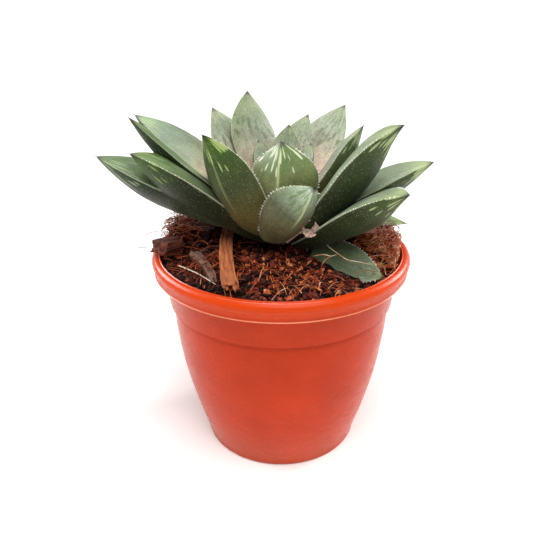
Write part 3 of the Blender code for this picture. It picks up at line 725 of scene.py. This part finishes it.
# heading: degrees from +X. reach: tip's distance from the stem. tip, root: heights. (mm)
# start, end: how many degrees the centre line sags below its chord at the root and climbs
# above it at the tip. roll: twist about the centre line. swing: sideways sweep at the root.
# widest: place of the widest section, root 0 to tip 1. foot: shift of the root, x and y in mm.
# skin: its finish. keel: how many mesh steps the keel lies off the middle. sharp: how sharp
# the keel is, 0 to 1. teeth: length of the margin's teeth in mm.
LEAVES = [
    LeafPlan("leaf_01", 250, 5, 119, 105, 7, 4, 5, 10, 0, 0, .55, (0, 0), "heart", 0, .3, .2),
    LeafPlan("leaf_02", 95, 6, 121, 105, 8, 4, 5, 10, 0, 0, .55, (0, 0), "heart", 0, .3, .2),
    LeafPlan("leaf_03", 36, 14, 121, 104, 10, 5, 8, 10, 0, 0, .55, (0, 0), "heart", 0, .3, .3),
    LeafPlan("leaf_04", 136, 12, 122, 104, 10, 5, 8, 10, 0, 0, .55, (0, 0), "heart", 0, .3, .3),
    LeafPlan("leaf_05", 77, 14, 127, 103, 13, 6, 8, 7, 0, 5, .56, (0, 0), "heart", 0, .3, .3),
    LeafPlan("leaf_06", 65, 26, 129, 102, 14, 7, 6, 0, 10, 12, .56, (0, 0), "heart", 0, .3, .3),
    LeafPlan("leaf_07", 118, 28, 138, 100, 21, 8, 12, 12, 13, 7, .60, (0, 0), "heart_painted_shade", 0, .3, .3),
    LeafPlan("leaf_08", 47, 38, 132, 100, 22, 8, 3, 0, 5, 8, .54, (0, 0), "heart", 0, .3, .3),
    LeafPlan("leaf_09", 141, 35, 132, 100, 22, 8, 6, 3, 0, -3, .56, (0, 0), "heart", 0, .3, .3),
    LeafPlan("leaf_10", 270, 14, 127, 97, 24, 12, 6, 8, -14, 12, .60, (0, 0), "front", 0, .8, .9),
    LeafPlan("leaf_11", 355, 30, 130, 96, 16, 8, 16, -15, -2, 0, .58, (0, 0), "brown", 0, .5, .6),
    LeafPlan("leaf_12", 100, 34, 115, 97, 16, 8, 6, 0, 0, 0, .58, (0, 0), "side", 0, .3, .3),
    LeafPlan("leaf_13", 62, 36, 115, 96, 17, 8, 6, 0, 0, 0, .58, (0, 0), "side", 1, .3, .3),
    LeafPlan("leaf_14", 151, 37, 113, 96, 18, 8, 6, -4, 0, 0, .58, (0, 0), "side", 0, .3, .3),
    LeafPlan("leaf_15", 173, 55, 132, 97, 23, 10, 8, -12, -6, 0, .60, (0, 0), "blue", 2, .4, .5),
    LeafPlan("leaf_16", 32, 42, 112, 94, 18, 8, 6, -6, 0, 0, .58, (0, 0), "side", 0, .3, .3),
    LeafPlan("leaf_17", 182, 55, 133, 92, 20, 7, 6, 0, 4, -2, .56, (0, 0), "shaded", 0, .3, .3),
    LeafPlan("leaf_18", 352, 56, 118, 91, 22, 9, 5, -16, 2, 5, .62, (0, 0), "side", 0, .3, .3),
    LeafPlan("leaf_19", 332, 46.5, 134, 89, 25, 11, 13, -32, 10, -6, .58, (0, 0), "side", 0, .5,
             .8),
    LeafPlan("leaf_20", 219, 34, 131, 90.5, 22, 10, 28, -15, 13, 0, .59, (0, 0), "olive", 2, .5,
             .7),
    LeafPlan("leaf_21", 108, 52, 107, 90, 22, 9, 5, -8, 0, 0, .60, (0, 0), "side", 0, .4, .4),
    LeafPlan("leaf_22", 60, 53, 107, 90, 22, 9, 5, -8, 0, 0, .60, (0, 0), "side", -1, .4, .4),
    LeafPlan("leaf_23", 183, 68, 119, 90, 25, 11, -3, -9, -4, -3, .64, (0, 0), "shaded", 0, .3, .3),
    LeafPlan("leaf_24", 132, 54, 106, 89, 22, 9, 5, -8, 0, 0, .60, (0, 0), "side", 1, .4, .4),
    LeafPlan("leaf_25", 34, 52, 100, 88, 21, 9, 4, -8, 0, 0, .60, (0, 0), "side", 0, .4, .4),
    LeafPlan("leaf_26", 84, 54, 103, 88, 22, 9, 5, -8, 0, 0, .60, (0, 0), "side", 2, .4, .4),
    LeafPlan("leaf_27", 157, 52, 106, 88, 22, 9, 4, -8, 0, 0, .60, (0, 0), "side", 0, .4, .4),
    LeafPlan("leaf_28", 197, 55, 123, 87, 21, 10, 3, -25, -3, 0, .70, (0, 0), "dark", 1, .4, .5),
    LeafPlan("leaf_29", 323, 46.5, 113, 87, 23, 10, -1, -29, 2, 6, .62, (5.5, -3.5), "side", 0, .3,
             .8),
    LeafPlan("leaf_30", 319, 21, 113.5, 90.5, 20, 9, -15, -27, -32, -3, .64, (-4, -10.4),
             "rough", 0, .8, .9),
    # leaf_31 wears the dark skin as painted shade: its upper face is lit from above.
    LeafPlan("leaf_31", 13, 53, 87, 88, 14, 5, -6, -20, 12, 8, .57, (0, 0), "dark", 0, .3, .3),
]
FALLEN_LEAF = LeafPlan("fallen_leaf", 329, 30.5, 80.8, 85.9, 15, 5, 0, 6, 42, 0, .42,
                       (10.6, -10.6), "fallen", 0, .4, .7)

# Colours from the root (0) to the tip (1) of the upper and lower faces, the windows' colour,
# how strongly they show and where along the leaf they start, and how strongly the keel's pale
# line and a band of dark flecks show.
SkinLook = namedtuple("SkinLook", "upper lower window windows start keel_line flecks")
SKINS = {
    "heart": SkinLook(
        [(0.0, "#A48A76"), (1.0, "#8F9C78"), (0.38, "#CBB3A0"), (0.55, "#B4AD98"),
         (0.75, "#949F88")],
        [(0.0, "#5B5939"), (1.0, "#6A7A50"), (0.5, "#626A48")], "#B4BE9C", 0.8, 0.62, 0.3, 0.6),
    # A darker copy of the heart skin: painted shade for leaf_07, which catches more light.
    "heart_painted_shade": SkinLook(
        [(0.0, "#9A8672"), (1.0, "#7C8A62"), (0.34, "#B4A28C"), (0.55, "#8E8E78"),
         (0.75, "#7C886A")],
        [(0.0, "#5B5939"), (1.0, "#6A7A50"), (0.5, "#626A48")], "#A4B086", 0.6, 0.7, 0.3, 0.9),
    "front": SkinLook(
        [(0.0, "#7C7458"), (1.0, "#93A587"), (0.5, "#8A9A84")],
        [(0.0, "#5A5534"), (1.0, "#5C763A"), (0.3, "#8A8458"), (0.55, "#828458"),
         (0.8, "#687A4C")], "#E2E8CC", 1.0, 0.46, 0.9, 0.0),
    "rough": SkinLook(
        [(0.0, "#7C7458"), (1.0, "#93A587"), (0.5, "#8A9A84")],
        [(0.0, "#605E40"), (1.0, "#BCC8B4"), (0.3, "#666240"), (0.6, "#60664A"),
         (0.8, "#88987C")], "#547A38", 0.8, 0.45, 0.9, 0.0),
    "side": SkinLook(
        [(0.0, "#5A6644"), (1.0, "#8FA068"), (0.5, "#7C8E6C"), (0.8, "#8C9C7C")],
        [(0.0, "#18210D"), (1.0, "#465A26"), (0.35, "#212C14"), (0.7, "#2F3D1E")],
        "#B8C88E", 1.0, 0.7, 0.2, 0.0),
    "olive": SkinLook(
        [(0.0, "#7C7A58"), (1.0, "#90A372"), (0.5, "#8B9A80")],
        [(0.0, "#4A4522"), (1.0, "#4E6C26"), (0.35, "#645A30"), (0.6, "#3E4624"),
         (0.85, "#3C5224")], "#B4C87C", 0.9, 0.64, 0.3, 0.0),
    "dark": SkinLook(
        [(0.0, "#5A6642"), (1.0, "#587430"), (0.5, "#647450"), (0.75, "#526A38")],
        [(0.0, "#262810"), (1.0, "#3E581C"), (0.35, "#1F2611"), (0.7, "#1F2B10")],
        "#9CB458", 0.8, 0.7, 0.2, 0.0),
    "blue": SkinLook(
        [(0.0, "#8E7C5E"), (1.0, "#7E9468"), (0.42, "#B09E7E"), (0.6, "#8A947A"),
         (0.78, "#758870")],
        [(0.0, "#5C5834"), (1.0, "#384F26"), (0.4, "#323C26"), (0.7, "#26321E")],
        "#A5BC84", 0.8, 0.72, 0.2, 0.0),
    "shaded": SkinLook(
        [(0.0, "#6A6E48"), (1.0, "#4E6A2C"), (0.5, "#62764E"), (0.75, "#526A3E")],
        [(0.0, "#605C38"), (1.0, "#2E4220"), (0.4, "#303A24"), (0.7, "#222E1A")],
        "#9DB280", 0.9, 0.68, 0.2, 0.0),
    "brown": SkinLook(
        [(0.0, "#A58B78"), (1.0, "#909C7A"), (0.4, "#A8998B"), (0.7, "#8E9A86")],
        [(0.0, "#4A3A24"), (1.0, "#586C42"), (0.4, "#534A2C"), (0.7, "#4E5A3A")],
        "#B4C298", 1.0, 0.6, 0.2, 0.0),
    # The fallen leaf's upper face is painted paler than its own green, partly as a painted
    # highlight.
    "fallen": SkinLook(
        [(0.0, "#3C4E32"), (1.0, "#708C54"), (0.45, "#5A6A4C"), (0.8, "#7A886C")],
        [(0.0, "#2E3A22"), (1.0, "#567A35"), (0.6, "#3E4E2E")], "#A8B89C", 0.8, 0.45, 0.3, 0.0),
}


def outline(along, widest):
    """Half-width along the leaf, 1 at its widest: a tapering root and a long point."""
    if along < widest:
        return 1 - (1 - BASE_WIDTH) * (1 - along / widest) ** 2
    return 1 - ((along - widest) / (1 - widest)) ** POINT_CURVE


@lru_cache(maxsize=None)
def centre_line(plan, along):
    """Point, sideways and upward directions on the leaf's centre line."""
    heading = math.radians(plan.heading)
    outward = Vector((math.cos(heading), math.sin(heading), 0.0))
    side = Vector((-math.sin(heading), math.cos(heading), 0.0))
    foot = Vector((*plan.foot, 0.0)) * MM
    root = foot + outward * LEAF_ROOT_R + Vector((0.0, 0.0, plan.root * MM))
    tip = foot + outward * plan.reach * MM + Vector((0.0, 0.0, plan.tip * MM))
    chord = (tip - root).normalized()
    lift = chord.cross(side)
    third = (tip - root).length / 3

    def handle(degrees, sweep):
        turn = math.radians(degrees)
        sideways = side * math.tan(math.radians(sweep))
        return (chord * math.cos(turn) + lift * math.sin(turn) + sideways) * third

    first = root + handle(-plan.start, plan.swing)
    last = tip - handle(plan.end, -plan.swing)
    place = along_path([root, first, last, tip], along)
    back = 1 - along
    ahead = (back ** 2 * (first - root) + 2 * back * along * (last - first)
             + along ** 2 * (tip - last)).normalized()
    across = (side - ahead * side.dot(ahead)).normalized()
    upward = ahead.cross(across)
    twist = math.radians(plan.roll)
    return (place, across * math.cos(twist) + upward * math.sin(twist),
            upward * math.cos(twist) - across * math.sin(twist))


def keel_side(plan):
    """Where the keel lies between the margins, -1 to 1."""
    return math.sin(math.tau * plan.keel / LEAF_SIDES)


def leaf_point(plan, share, around):
    """A point on the leaf's skin; around 0 and half a turn are its two sharp margins."""
    along = share * FLESH_END
    place, across, upward = centre_line(plan, along)
    width = plan.width * MM * outline(share, plan.widest)
    rise, side = math.sin(around), math.cos(around)
    if rise >= 0:
        height = CROWN * width * rise
    else:
        keel = keel_side(plan)
        tent = 1 - (side - keel) / (1 - keel) if side > keel else 1 - (keel - side) / (1 + keel)
        depth = abs(rise) ** (1 + KEEL_SHARPENING * along)
        depth = mix(depth, 0.2 * depth + 0.8 * tent, plan.sharp * smoothstep(0.15, 0.8, along))
        body = outline(share, plan.widest * KEEL_WIDEST) ** KEEL_CURVE
        body *= 1 - ROOT_THINNING * (1 - along) ** 4
        height = -plan.thickness * MM * body * depth
    return place + across * (width / 2 * side) + upward * height


def add_teeth(bm, plan, blank, rng):
    """Small soft teeth along both margins, leaning towards the tip."""
    length = (centre_line(plan, 1.0)[0] - centre_line(plan, 0.0)[0]).length
    count = int(length * TEETH_RUN / TOOTH_SPACING)
    for index in range(count):
        for sign in (1, -1):
            share = TEETH_START + (index + rng.uniform(-0.2, 0.2)) / count * TEETH_RUN
            _, across, upward = centre_line(plan, share * FLESH_END)
            ahead = across.cross(upward)
            margin = leaf_point(plan, share, 0.0 if sign > 0 else math.pi)
            size = plan.teeth * MM * rng.uniform(0.7, 1.2)
            out = (across * sign + ahead * 0.5 + upward * rng.uniform(-0.2, 0.3)).normalized()
            flat = out.cross(upward).normalized()
            thick = out.cross(flat)

            def place(point):
                reach = (point.z - 0.2) * size
                section = (flat * point.x + thick * point.y) * size * TOOTH_THICKNESS
                return margin + out * reach + section
            stamp(bm, blank, place, along=share, side=float(sign), rise=0.0, ridge=1.0,
                  tooth=1.0)


def leaf_bmesh(plan, teeth_blank, bristle_blank, rng):
    """A thick boat-shaped leaf with a keeled back, toothed margins and a dry bristle."""
    bm = new_bmesh(*LEAF_FIELDS)
    layers = {field: bm.verts.layers.float[field] for field in LEAF_FIELDS}
    seed = rng.uniform(0, 50)
    keel = keel_side(plan)
    add_teeth(bm, plan, teeth_blank, rng)

    def bristle_path(share):
        along = mix(BRISTLE_START, 1.0, share)
        place, _, upward = centre_line(plan, along)
        return place - upward * plan.thickness * MM * 0.12 * (1 - share) ** 2

    def bristle_radius(share):
        return BRISTLE_R * mix(1.0, 0.12, share ** 0.7)
    stamp(bm, bristle_blank, onto_path(bristle_path, bristle_radius),
          along=1.2, side=0.0, rise=-1.0, ridge=1.0, tooth=0.0)
    flesh = bmesh.ops.create_grid(bm, x_segments=LEAF_SIDES, y_segments=LEAF_RINGS,
                                  size=0.5)["verts"]
    for vert in flesh:
        share, around = vert.co.y + 0.5, math.tau * (vert.co.x + 0.5)
        vert.co = leaf_point(plan, share, around)
        swell = SWELL_HEIGHT * noise.noise(vert.co / SWELL_SPACING + Vector((seed, 0, 0)))
        vert.co += centre_line(plan, share * FLESH_END)[2] * swell * outline(share, plan.widest)
        vert[layers["along"]] = share
        vert[layers["side"]] = math.cos(around)
        vert[layers["rise"]] = math.sin(around)
        below = min(max(-math.sin(around) * 3, 0.0), 1.0)
        vert[layers["ridge"]] = mix(1.0, math.cos(around) - keel, below)
    bmesh.ops.remove_doubles(bm, verts=flesh, dist=SEAM)
    bmesh.ops.holes_fill(bm, edges=bm.edges, sides=LEAF_SIDES)
    bmesh.ops.recalc_face_normals(bm, faces=bm.faces)
    for vert in bm.verts:
        vert[layers["seed"]] = seed
    return bm


def leaf_skin(name, look):
    """Waxy succulent epidermis, grown: pale bloom and fine veins above, a darker back.

    Translucent windows show as long pale spots that radiate from the tip; margins, teeth and
    keel are horny and pale, and the tip dries to a dark bristle. Satin, slightly translucent.
    """
    mat, shader, add = new_material("waxy_skin_" + name, specular_ior_level=0.24, ior=1.42,
                                    subsurface_weight=0.08, subsurface_scale=1.2 * MM,
                                    sheen_weight=0.04, sheen_roughness=0.5)
    shader.inputs['Subsurface Radius'].default_value = (0.6, 1.0, 0.3)
    along, side, rise, ridge, seed, tooth = (
        add('ShaderNodeAttribute', attribute_name=field).outputs['Fac'] for field in LEAF_FIELDS)
    place = add('ShaderNodeTexCoord').outputs['Object']
    chart = add('ShaderNodeCombineXYZ', {'X': side, 'Y': along, 'Z': seed}).outputs['Vector']
    below = remap(add, rise, 0.03, -0.05, 0.0, 1.0)
    skin = blend(add, below, ramp(add, along, look.upper), ramp(add, along, look.lower))

    # Veins about 1 mm apart run the length of the leaf and fade into the flesh.
    veins = cloudy(add, stretched(add, chart, (9, 2.6, 1)), 1.0, 5.0, 0.7)
    cloud = cloudy(add, place, 7 * MM, 4.0, 0.6)
    speck = cloudy(add, place, 0.7 * MM, 3.0, 0.7)
    light = combine(add, 'MULTIPLY', remap(add, veins, 0.3, 0.72, 0.84, 1.2),
                    remap(add, cloud, 0.3, 0.7, 0.78, 1.22))
    light = combine(add, 'MULTIPLY', light, remap(add, speck, 0.35, 0.65, 0.82, 1.2))
    skin = add('ShaderNodeVectorMath', {0: skin, 3: light}, operation='SCALE').outputs['Vector']

    # Windows: long cells on the chart whose size grows towards the tip.
    cells = add('ShaderNodeTexVoronoi', {'Vector': stretched(add, chart, (8.5, 7, 1)),
                                         'Scale': 1.0, 'Randomness': 0.75}).outputs['Distance']
    reach = remap(add, along, look.start, 0.88, 0.0, 0.48)
    window = remap(add, combine(add, 'SUBTRACT', reach, cells), 0.0, 0.1, 0.0,
                   0.75 * look.windows)

    # Dark flecks lie in a band beyond the middle of some leaves.
    band = ramp(add, along,
                [(0.45, "#000000"), (0.85, "#000000"), (0.6, "#FFFFFF"), (0.7, "#FFFFFF")])
    streaks = cloudy(add, stretched(add, chart, (7, 16, 1)), 1.0, 2.0)
    fleck = combine(add, 'MULTIPLY', remap(add, streaks, 0.52, 0.62, 0.0, look.flecks), band)

    # Fine pale points stud the rough skin, each about a fifth of a millimetre across.
    points = add('ShaderNodeTexVoronoi', {'Vector': place, 'Scale': 1 / (0.85 * MM)})
    point = remap(add, points.outputs['Distance'], 0.24, 0.1, 0.0, 0.3)

    margin = remap(add, combine(add, 'ABSOLUTE', rise), 0.1, 0.02, 0.0, 0.6)
    keel = remap(add, combine(add, 'ABSOLUTE', ridge), 0.07, 0.01, 0.0, 0.8 * look.keel_line)
    keel = combine(add, 'MULTIPLY', keel, remap(add, along, 0.4, 0.6, 0.0, 1.0))
    dry_tip = remap(add, along, 0.95, 0.99, 0.0, 1.0)
    overlays = [(window, look.window), (fleck, "#56684A"), (point, "#C8CCB4"),
                (margin, "#D0D2B8"), (keel, "#C4C88E"), (dry_tip, "#2B2018"), (tooth, "#F4F3E8")]
    for share, colour in overlays:
        skin = blend(add, share, skin, linear(colour))
    return finished(mat, shader, skin,
                    relief(add, combine(add, 'ADD', veins, speck), 0.35, 0.25 * MM),
                    remap(add, cloud, 0.3, 0.7, 0.36, 0.52))


# ---------------------------------------------------------------- stem and stub

STUB_POINTS = [Vector(point) * MM for point in
               ((2.0, -12.0, 89.0), (6.0, -13.8, 93.4), (9.0, -16.2, 96.0), (10.4, -19.8, 97.2))]
# Share of its length and radius in mm, up the outside and down into the hollow cup.
STUB_SHAPE = [(0.0, 0.8), (0.35, 1.0), (0.58, 1.5), (0.76, 2.3), (0.9, 2.9), (1.0, 3.2),
              (0.99, 2.9), (0.86, 2.1), (0.7, 1.2), (0.66, 0.0)]
STUB_STEPS = 24
STUB_WRINKLES = 0.28               # how far they stray in and out, as a share of its radius


def dried_tissue():
    """Dried flower stalk: papery, wrinkled lengthwise, pinkish straw with dark creases."""
    mat, shader, add = new_material("dried_tissue", roughness=0.75, specular_ior_level=0.35,
                                    subsurface_weight=0.15, subsurface_scale=1.0 * MM)
    place = add('ShaderNodeTexCoord').outputs['Object']
    creases = cloudy(add, stretched(add, place, (1, 1, 0.3)), 0.8 * MM, 4.0)
    # The pinkish straw tones are painted paler than the stalk's own, partly as painted light where
    # leaf_30 shades the stub.
    colour = ramp(add, creases, [(0.3, "#94695A"), (0.66, "#F0DCD0"), (0.45, "#CDAA9A")])
    return finished(mat, shader, colour, relief(add, creases, 0.8, 0.4 * MM))


def root_skin():
    """Fleshy root skin: matt, cream to tan, with faint cloudy stains."""
    mat, shader, add = new_material("fleshy_root_skin", roughness=0.8, specular_ior_level=0.35)
    place = add('ShaderNodeTexCoord').outputs['Object']
    stain = cloudy(add, place, 3 * MM, 5.0)
    colour = ramp(add, stain, [(0.3, "#8C6F4E"), (0.7, "#DCC7A2"), (0.5, "#B99A72")])
    return finished(mat, shader, colour, relief(add, stain, 0.6, 0.3 * MM))


# ---------------------------------------------------------------- stage

FLOOR_SIZE = 6.0
SKY_LIGHT = 0.3                    # how strongly the white sky lights the model
SKY_SEEN = 1.0                     # and how bright it is to the camera
AIM_POINT = Vector((0.0, 0.0, 0.07))
SOFTBOXES = [   # name, place, size, setting that gives its power, share of that power
    ("left_softbox", (-0.82, 0.12, 0.6), 0.26, "left_power", 1.0),
    ("right_softbox", (0.8, 0.42, 0.42), 0.26, "right_power", 1.0),
    ("left_card", (-0.72, 0.48, 0.55), 0.5, "card_power", 1.0),
    ("back_card", (0.0, 0.48, 0.95), 0.5, "card_power", 1.0),
    ("right_card", (0.72, 0.48, 0.5), 0.5, "card_power", 0.6),
]
SUN_PLACE = (0.08, -0.32, 0.9)
SUN_ANGLE = math.radians(45)
SUN_COLOUR = (1.0, 0.98, 0.95)
SENSOR = 36.0                      # width of the camera's sensor, mm
LENS = 41.4065                     # focal length, mm
LENS_SHIFT = -0.00722              # sideways, as a share of the picture's width
NEAR_CLIP = 0.01


def add_object(name, data, place=(0.0, 0.0, 0.0)):
    """Add an object that holds this data to the scene."""
    obj = bpy.data.objects.new(name, data)
    obj.location = place
    bpy.context.scene.collection.objects.link(obj)
    return obj


def lay_floor(colour):
    """A wide plain floor at z = 0."""
    bm = bmesh.new()
    bmesh.ops.create_grid(bm, x_segments=1, y_segments=1, size=FLOOR_SIZE)
    mesh = bpy.data.meshes.new("floor")
    bm.to_mesh(mesh)
    bm.free()
    mat, shader, _ = new_material("matt_paint", roughness=0.9, specular_ior_level=0.1)
    shader.inputs['Base Color'].default_value = colour
    mesh.materials.append(mat)
    return add_object("floor", mesh)


def white_sky():
    """An even white world that lights the model softly and looks bright to the camera."""
    world = bpy.data.worlds.new("studio")
    world.use_nodes = True
    add = partial(add_node, world.node_tree)
    seen = add('ShaderNodeLightPath').outputs['Is Camera Ray']
    sky = world.node_tree.nodes["Background"]
    sky.inputs['Color'].default_value = (1.0, 1.0, 1.0, 1.0)
    world.node_tree.links.new(remap(add, seen, 0.0, 1.0, SKY_LIGHT, SKY_SEEN),
                              sky.inputs['Strength'])
    return world


def add_lamp(name, kind, place, power):
    """A lamp that shines at the model's middle."""
    lamp = bpy.data.lights.new(name, kind)
    lamp.energy = power
    obj = add_object(name, lamp, place)
    obj.rotation_euler = (AIM_POINT - obj.location).to_track_quat('-Z', 'Y').to_euler()
    return obj


def add_camera(settings):
    """The camera in front of the model, looking a little down."""
    camera = bpy.data.cameras.new("camera")
    camera.sensor_width = SENSOR
    camera.lens = LENS
    camera.shift_x = LENS_SHIFT
    camera.clip_start = NEAR_CLIP
    obj = add_object("camera", camera, (0.0, -settings.camera_distance, settings.camera_height))
    obj.rotation_euler = (math.pi / 2 - settings.camera_pitch, 0.0, 0.0)
    return obj


# ---------------------------------------------------------------- settings

def colour_setting(name, description, code):
    """A colour property that starts at an sRGB hex code."""
    return FloatVectorProperty(name=name, description=description, subtype='COLOR', size=4,
                               min=0.0, max=1.0, default=linear(code))


class PotSettings(bpy.types.PropertyGroup):
    """The pot's finish."""
    colour: colour_setting("Plastic", "Pigment of the moulded plastic", "#BE350A")


class MediumSettings(bpy.types.PropertyGroup):
    """The loose growing medium."""
    crumbs: IntProperty(name="Crumbs", description="Fine crumbs strewn on the heap",
                        default=3400, min=0)
    chips: IntProperty(name="Chips", description="Coarse crumbs strewn on the heap",
                       default=460, min=0)
    crumb_size: FloatProperty(name="Crumb size", description="Size of the largest fine crumb",
                              default=1.8 * MM, min=0.2 * MM, unit='LENGTH')
    seed: IntProperty(name="Seed", description="Start of the random draws", default=7)


class LeafSettings(bpy.types.PropertyGroup):
    """The rosette's leaves."""
    seed: IntProperty(name="Seed", description="Start of the random draws", default=3)


class StageSettings(bpy.types.PropertyGroup):
    """Floor, light and camera."""
    floor: colour_setting("Floor", "Colour of the plain floor", "#FAFAFA")
    overhead: FloatProperty(name="Overhead light", description="Strength of the light from above",
                            default=3.0, min=0.0)
    left_power: FloatProperty(name="Left softbox", description="Power of the left softbox",
                              default=2.8, min=0.0, subtype='POWER', unit='POWER')
    right_power: FloatProperty(name="Right softbox", description="Power of the right softbox",
                               default=4.5, min=0.0, subtype='POWER', unit='POWER')
    card_power: FloatProperty(name="Glint cards",
                              description="Power of the cards that only show as reflections",
                              default=14.0, min=0.0, subtype='POWER', unit='POWER')
    camera_height: FloatProperty(name="Camera height", description="Height above the floor",
                                 default=177.18 * MM, unit='LENGTH')
    camera_distance: FloatProperty(name="Camera distance", description="Distance from the stem",
                                   default=231.07 * MM, unit='LENGTH')
    camera_pitch: FloatProperty(name="Camera pitch", description="How far it looks down",
                                default=math.radians(25.12), unit='ROTATION', subtype='ANGLE')


# ---------------------------------------------------------------- operators

class HAWORTHIA_OT_pot(bpy.types.Operator):
    """Turn the moulded nursery pot with its rolled rim and drill its drainage holes"""
    bl_idname = "haworthia.pot"
    bl_label = "Pot"

    def execute(self, context):
        mat = moulded_polypropylene(context.scene.haworthia_pot.colour)
        bm = turned(pot_profile(), POT_STEPS)
        bm.normal_update()
        drill_drain_holes(bm)
        bmesh.ops.recalc_face_normals(bm, faces=bm.faces)
        make_piece("moulded_pot", bm, mat, ["pot"])
        return {'FINISHED'}


class HAWORTHIA_OT_medium(bpy.types.Operator):
    """Heap the coir mix and strew its crumbs"""
    bl_idname = "haworthia.medium"
    bl_label = "Growing medium"

    def execute(self, context):
        settings = context.scene.haworthia_medium
        make_piece("coir_heap", heap_surface(), coir_pith(), ["growing_medium"])
        rng = random.Random(settings.seed)
        crumb = coir_crumb()
        bm = new_bmesh("shade")
        scatter_crumbs(bm, rng, settings.crumbs, (FINEST_CRUMB, settings.crumb_size))
        make_piece("coir_crumbs", bm, crumb, smooth=False)
        bm = new_bmesh("shade")
        scatter_crumbs(bm, rng, settings.chips, (FINEST_CHIP, settings.crumb_size * CHIP_SCALE))
        make_piece("coir_chips", bm, crumb, smooth=False)
        return {'FINISHED'}


class HAWORTHIA_OT_fibres(bpy.types.Operator):
    """Lay the loose coir fibres, fine roots and straws on the heap"""
    bl_idname = "haworthia.fibres"
    bl_label = "Fibres and fine roots"

    def execute(self, context):
        rng = random.Random(context.scene.haworthia_medium.seed + 1)
        fibre = coir_fibre()
        bm = new_bmesh("shade")
        hair = tube_blank(*HAIR_MESH)
        for tangle in TANGLES:
            add_tangle(bm, hair, rng, *tangle)
        make_piece("coir_fibres", bm, fibre)
        strand = tube_blank(*STRAND_MESH)
        for name, thickness, shade, points in STRANDS:
            bm = new_bmesh("shade")
            add_strand(bm, strand, [Vector(point) * MM for point in points], thickness * MM, shade)
            make_piece(name, bm, fibre)
        return {'FINISHED'}


class HAWORTHIA_OT_husk(bpy.types.Operator):
    """Lay the large pieces of husk and bark"""
    bl_idname = "haworthia.husk"
    bl_label = "Husk pieces"

    def execute(self, context):
        finishes = {tone: split_husk(tone) for tone in HUSK_TONES}
        for node, *sizes, tone in CHIPS:
            make_piece(node + "_split", husk_bmesh(*sizes), finishes[tone], [node])
        return {'FINISHED'}


class HAWORTHIA_OT_leaves(bpy.types.Operator):
    """Grow the rosette's leaves and the leaf that has fallen on the heap"""
    bl_idname = "haworthia.leaves"
    bl_label = "Leaves"

    def execute(self, context):
        rng = random.Random(context.scene.haworthia_leaves.seed)
        finishes = {name: leaf_skin(name, look) for name, look in SKINS.items()}
        bm = bmesh.new()
        bmesh.ops.create_cone(bm, cap_ends=True, segments=4, radius1=1, radius2=0.15, depth=1,
                              matrix=Matrix.Translation((0, 0, 0.5)))
        tooth = blank_mesh(bm)
        bristle = tube_blank(*BRISTLE_MESH)
        for plan in LEAVES + [FALLEN_LEAF]:
            bm = leaf_bmesh(plan, tooth, bristle, rng)
            make_piece(plan.name + "_skin", bm, finishes[plan.skin], [plan.name])
        return {'FINISHED'}


class HAWORTHIA_OT_stem(bpy.types.Operator):
    """Finish the rooted stem and the dry stub at the rosette's foot"""
    bl_idname = "haworthia.stem"
    bl_label = "Stem and stub"

    def execute(self, context):
        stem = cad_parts["stem_with_roots"]
        stem.data.materials.clear()
        stem.data.materials.append(root_skin())

        bm = turned([(0.0, 0.0)] + [(radius, share) for share, radius in STUB_SHAPE], STUB_STEPS)
        path = onto_path(partial(through_points, STUB_POINTS), lambda share: MM)
        for vert in bm.verts:
            wrinkle = noise.noise(Vector((vert.co.x, vert.co.y, vert.co.z * 4)) * 0.9)
            vert.co.xy *= 1 + STUB_WRINKLES * wrinkle
            vert.co = path(vert.co)
        bmesh.ops.recalc_face_normals(bm, faces=bm.faces)
        make_piece("dried_stub_paper", bm, dried_tissue(), ["dried_stub"])
        return {'FINISHED'}


class HAWORTHIA_OT_stage(bpy.types.Operator):
    """Lay a plain pale floor and set the soft studio light and the camera"""
    bl_idname = "haworthia.stage"
    bl_label = "Stage"

    def execute(self, context):
        settings = context.scene.haworthia_stage
        floor = lay_floor(settings.floor)
        context.scene.world = white_sky()
        for name, place, size, setting, share in SOFTBOXES:
            box = add_lamp(name, 'AREA', place, getattr(settings, setting) * share)
            box.data.size = size
            # The cards light nothing: they only glint in shiny skins.
            box.visible_diffuse = setting != "card_power"
        sun = add_lamp("overhead_light", 'SUN', SUN_PLACE, settings.overhead).data
        sun.angle = SUN_ANGLE
        sun.color = SUN_COLOUR
        context.scene.camera = add_camera(settings)
        context.scene.view_settings.view_transform = 'Standard'
        return {'FINISHED'}


class HAWORTHIA_PT_panel(bpy.types.Panel):
    """Sidebar panel that lists the settings and the operators"""
    bl_idname = "HAWORTHIA_PT_panel"
    bl_label = "Haworthia"
    bl_space_type = 'VIEW_3D'
    bl_region_type = 'UI'
    bl_category = "Haworthia"

    def draw(self, context):
        for name, group in SETTINGS.items():
            box = self.layout.box()
            for setting in group.__annotations__:
                box.prop(getattr(context.scene, name), setting)
        for operator in OPERATORS:
            self.layout.operator(operator.bl_idname)


SETTINGS = {
    "haworthia_pot": PotSettings,
    "haworthia_medium": MediumSettings,
    "haworthia_leaves": LeafSettings,
    "haworthia_stage": StageSettings,
}
OPERATORS = [HAWORTHIA_OT_pot, HAWORTHIA_OT_medium, HAWORTHIA_OT_fibres, HAWORTHIA_OT_husk,
             HAWORTHIA_OT_leaves, HAWORTHIA_OT_stem, HAWORTHIA_OT_stage]


def register():
    """Register the settings, operators and panel."""
    for cls in [*SETTINGS.values(), *OPERATORS, HAWORTHIA_PT_panel]:
        bpy.utils.register_class(cls)
    for name, group in SETTINGS.items():
        setattr(bpy.types.Scene, name, PointerProperty(type=group))


def unregister():
    """Take them all away again."""
    for name in SETTINGS:
        delattr(bpy.types.Scene, name)
    for cls in reversed([*SETTINGS.values(), *OPERATORS, HAWORTHIA_PT_panel]):
        bpy.utils.unregister_class(cls)


def main():
    """Register the add-on and build every piece in order."""
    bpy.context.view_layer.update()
    register()
    for operator in OPERATORS:
        getattr(bpy.ops.haworthia, operator.bl_idname.split(".")[1])()


if __name__ == "__main__":
    main()
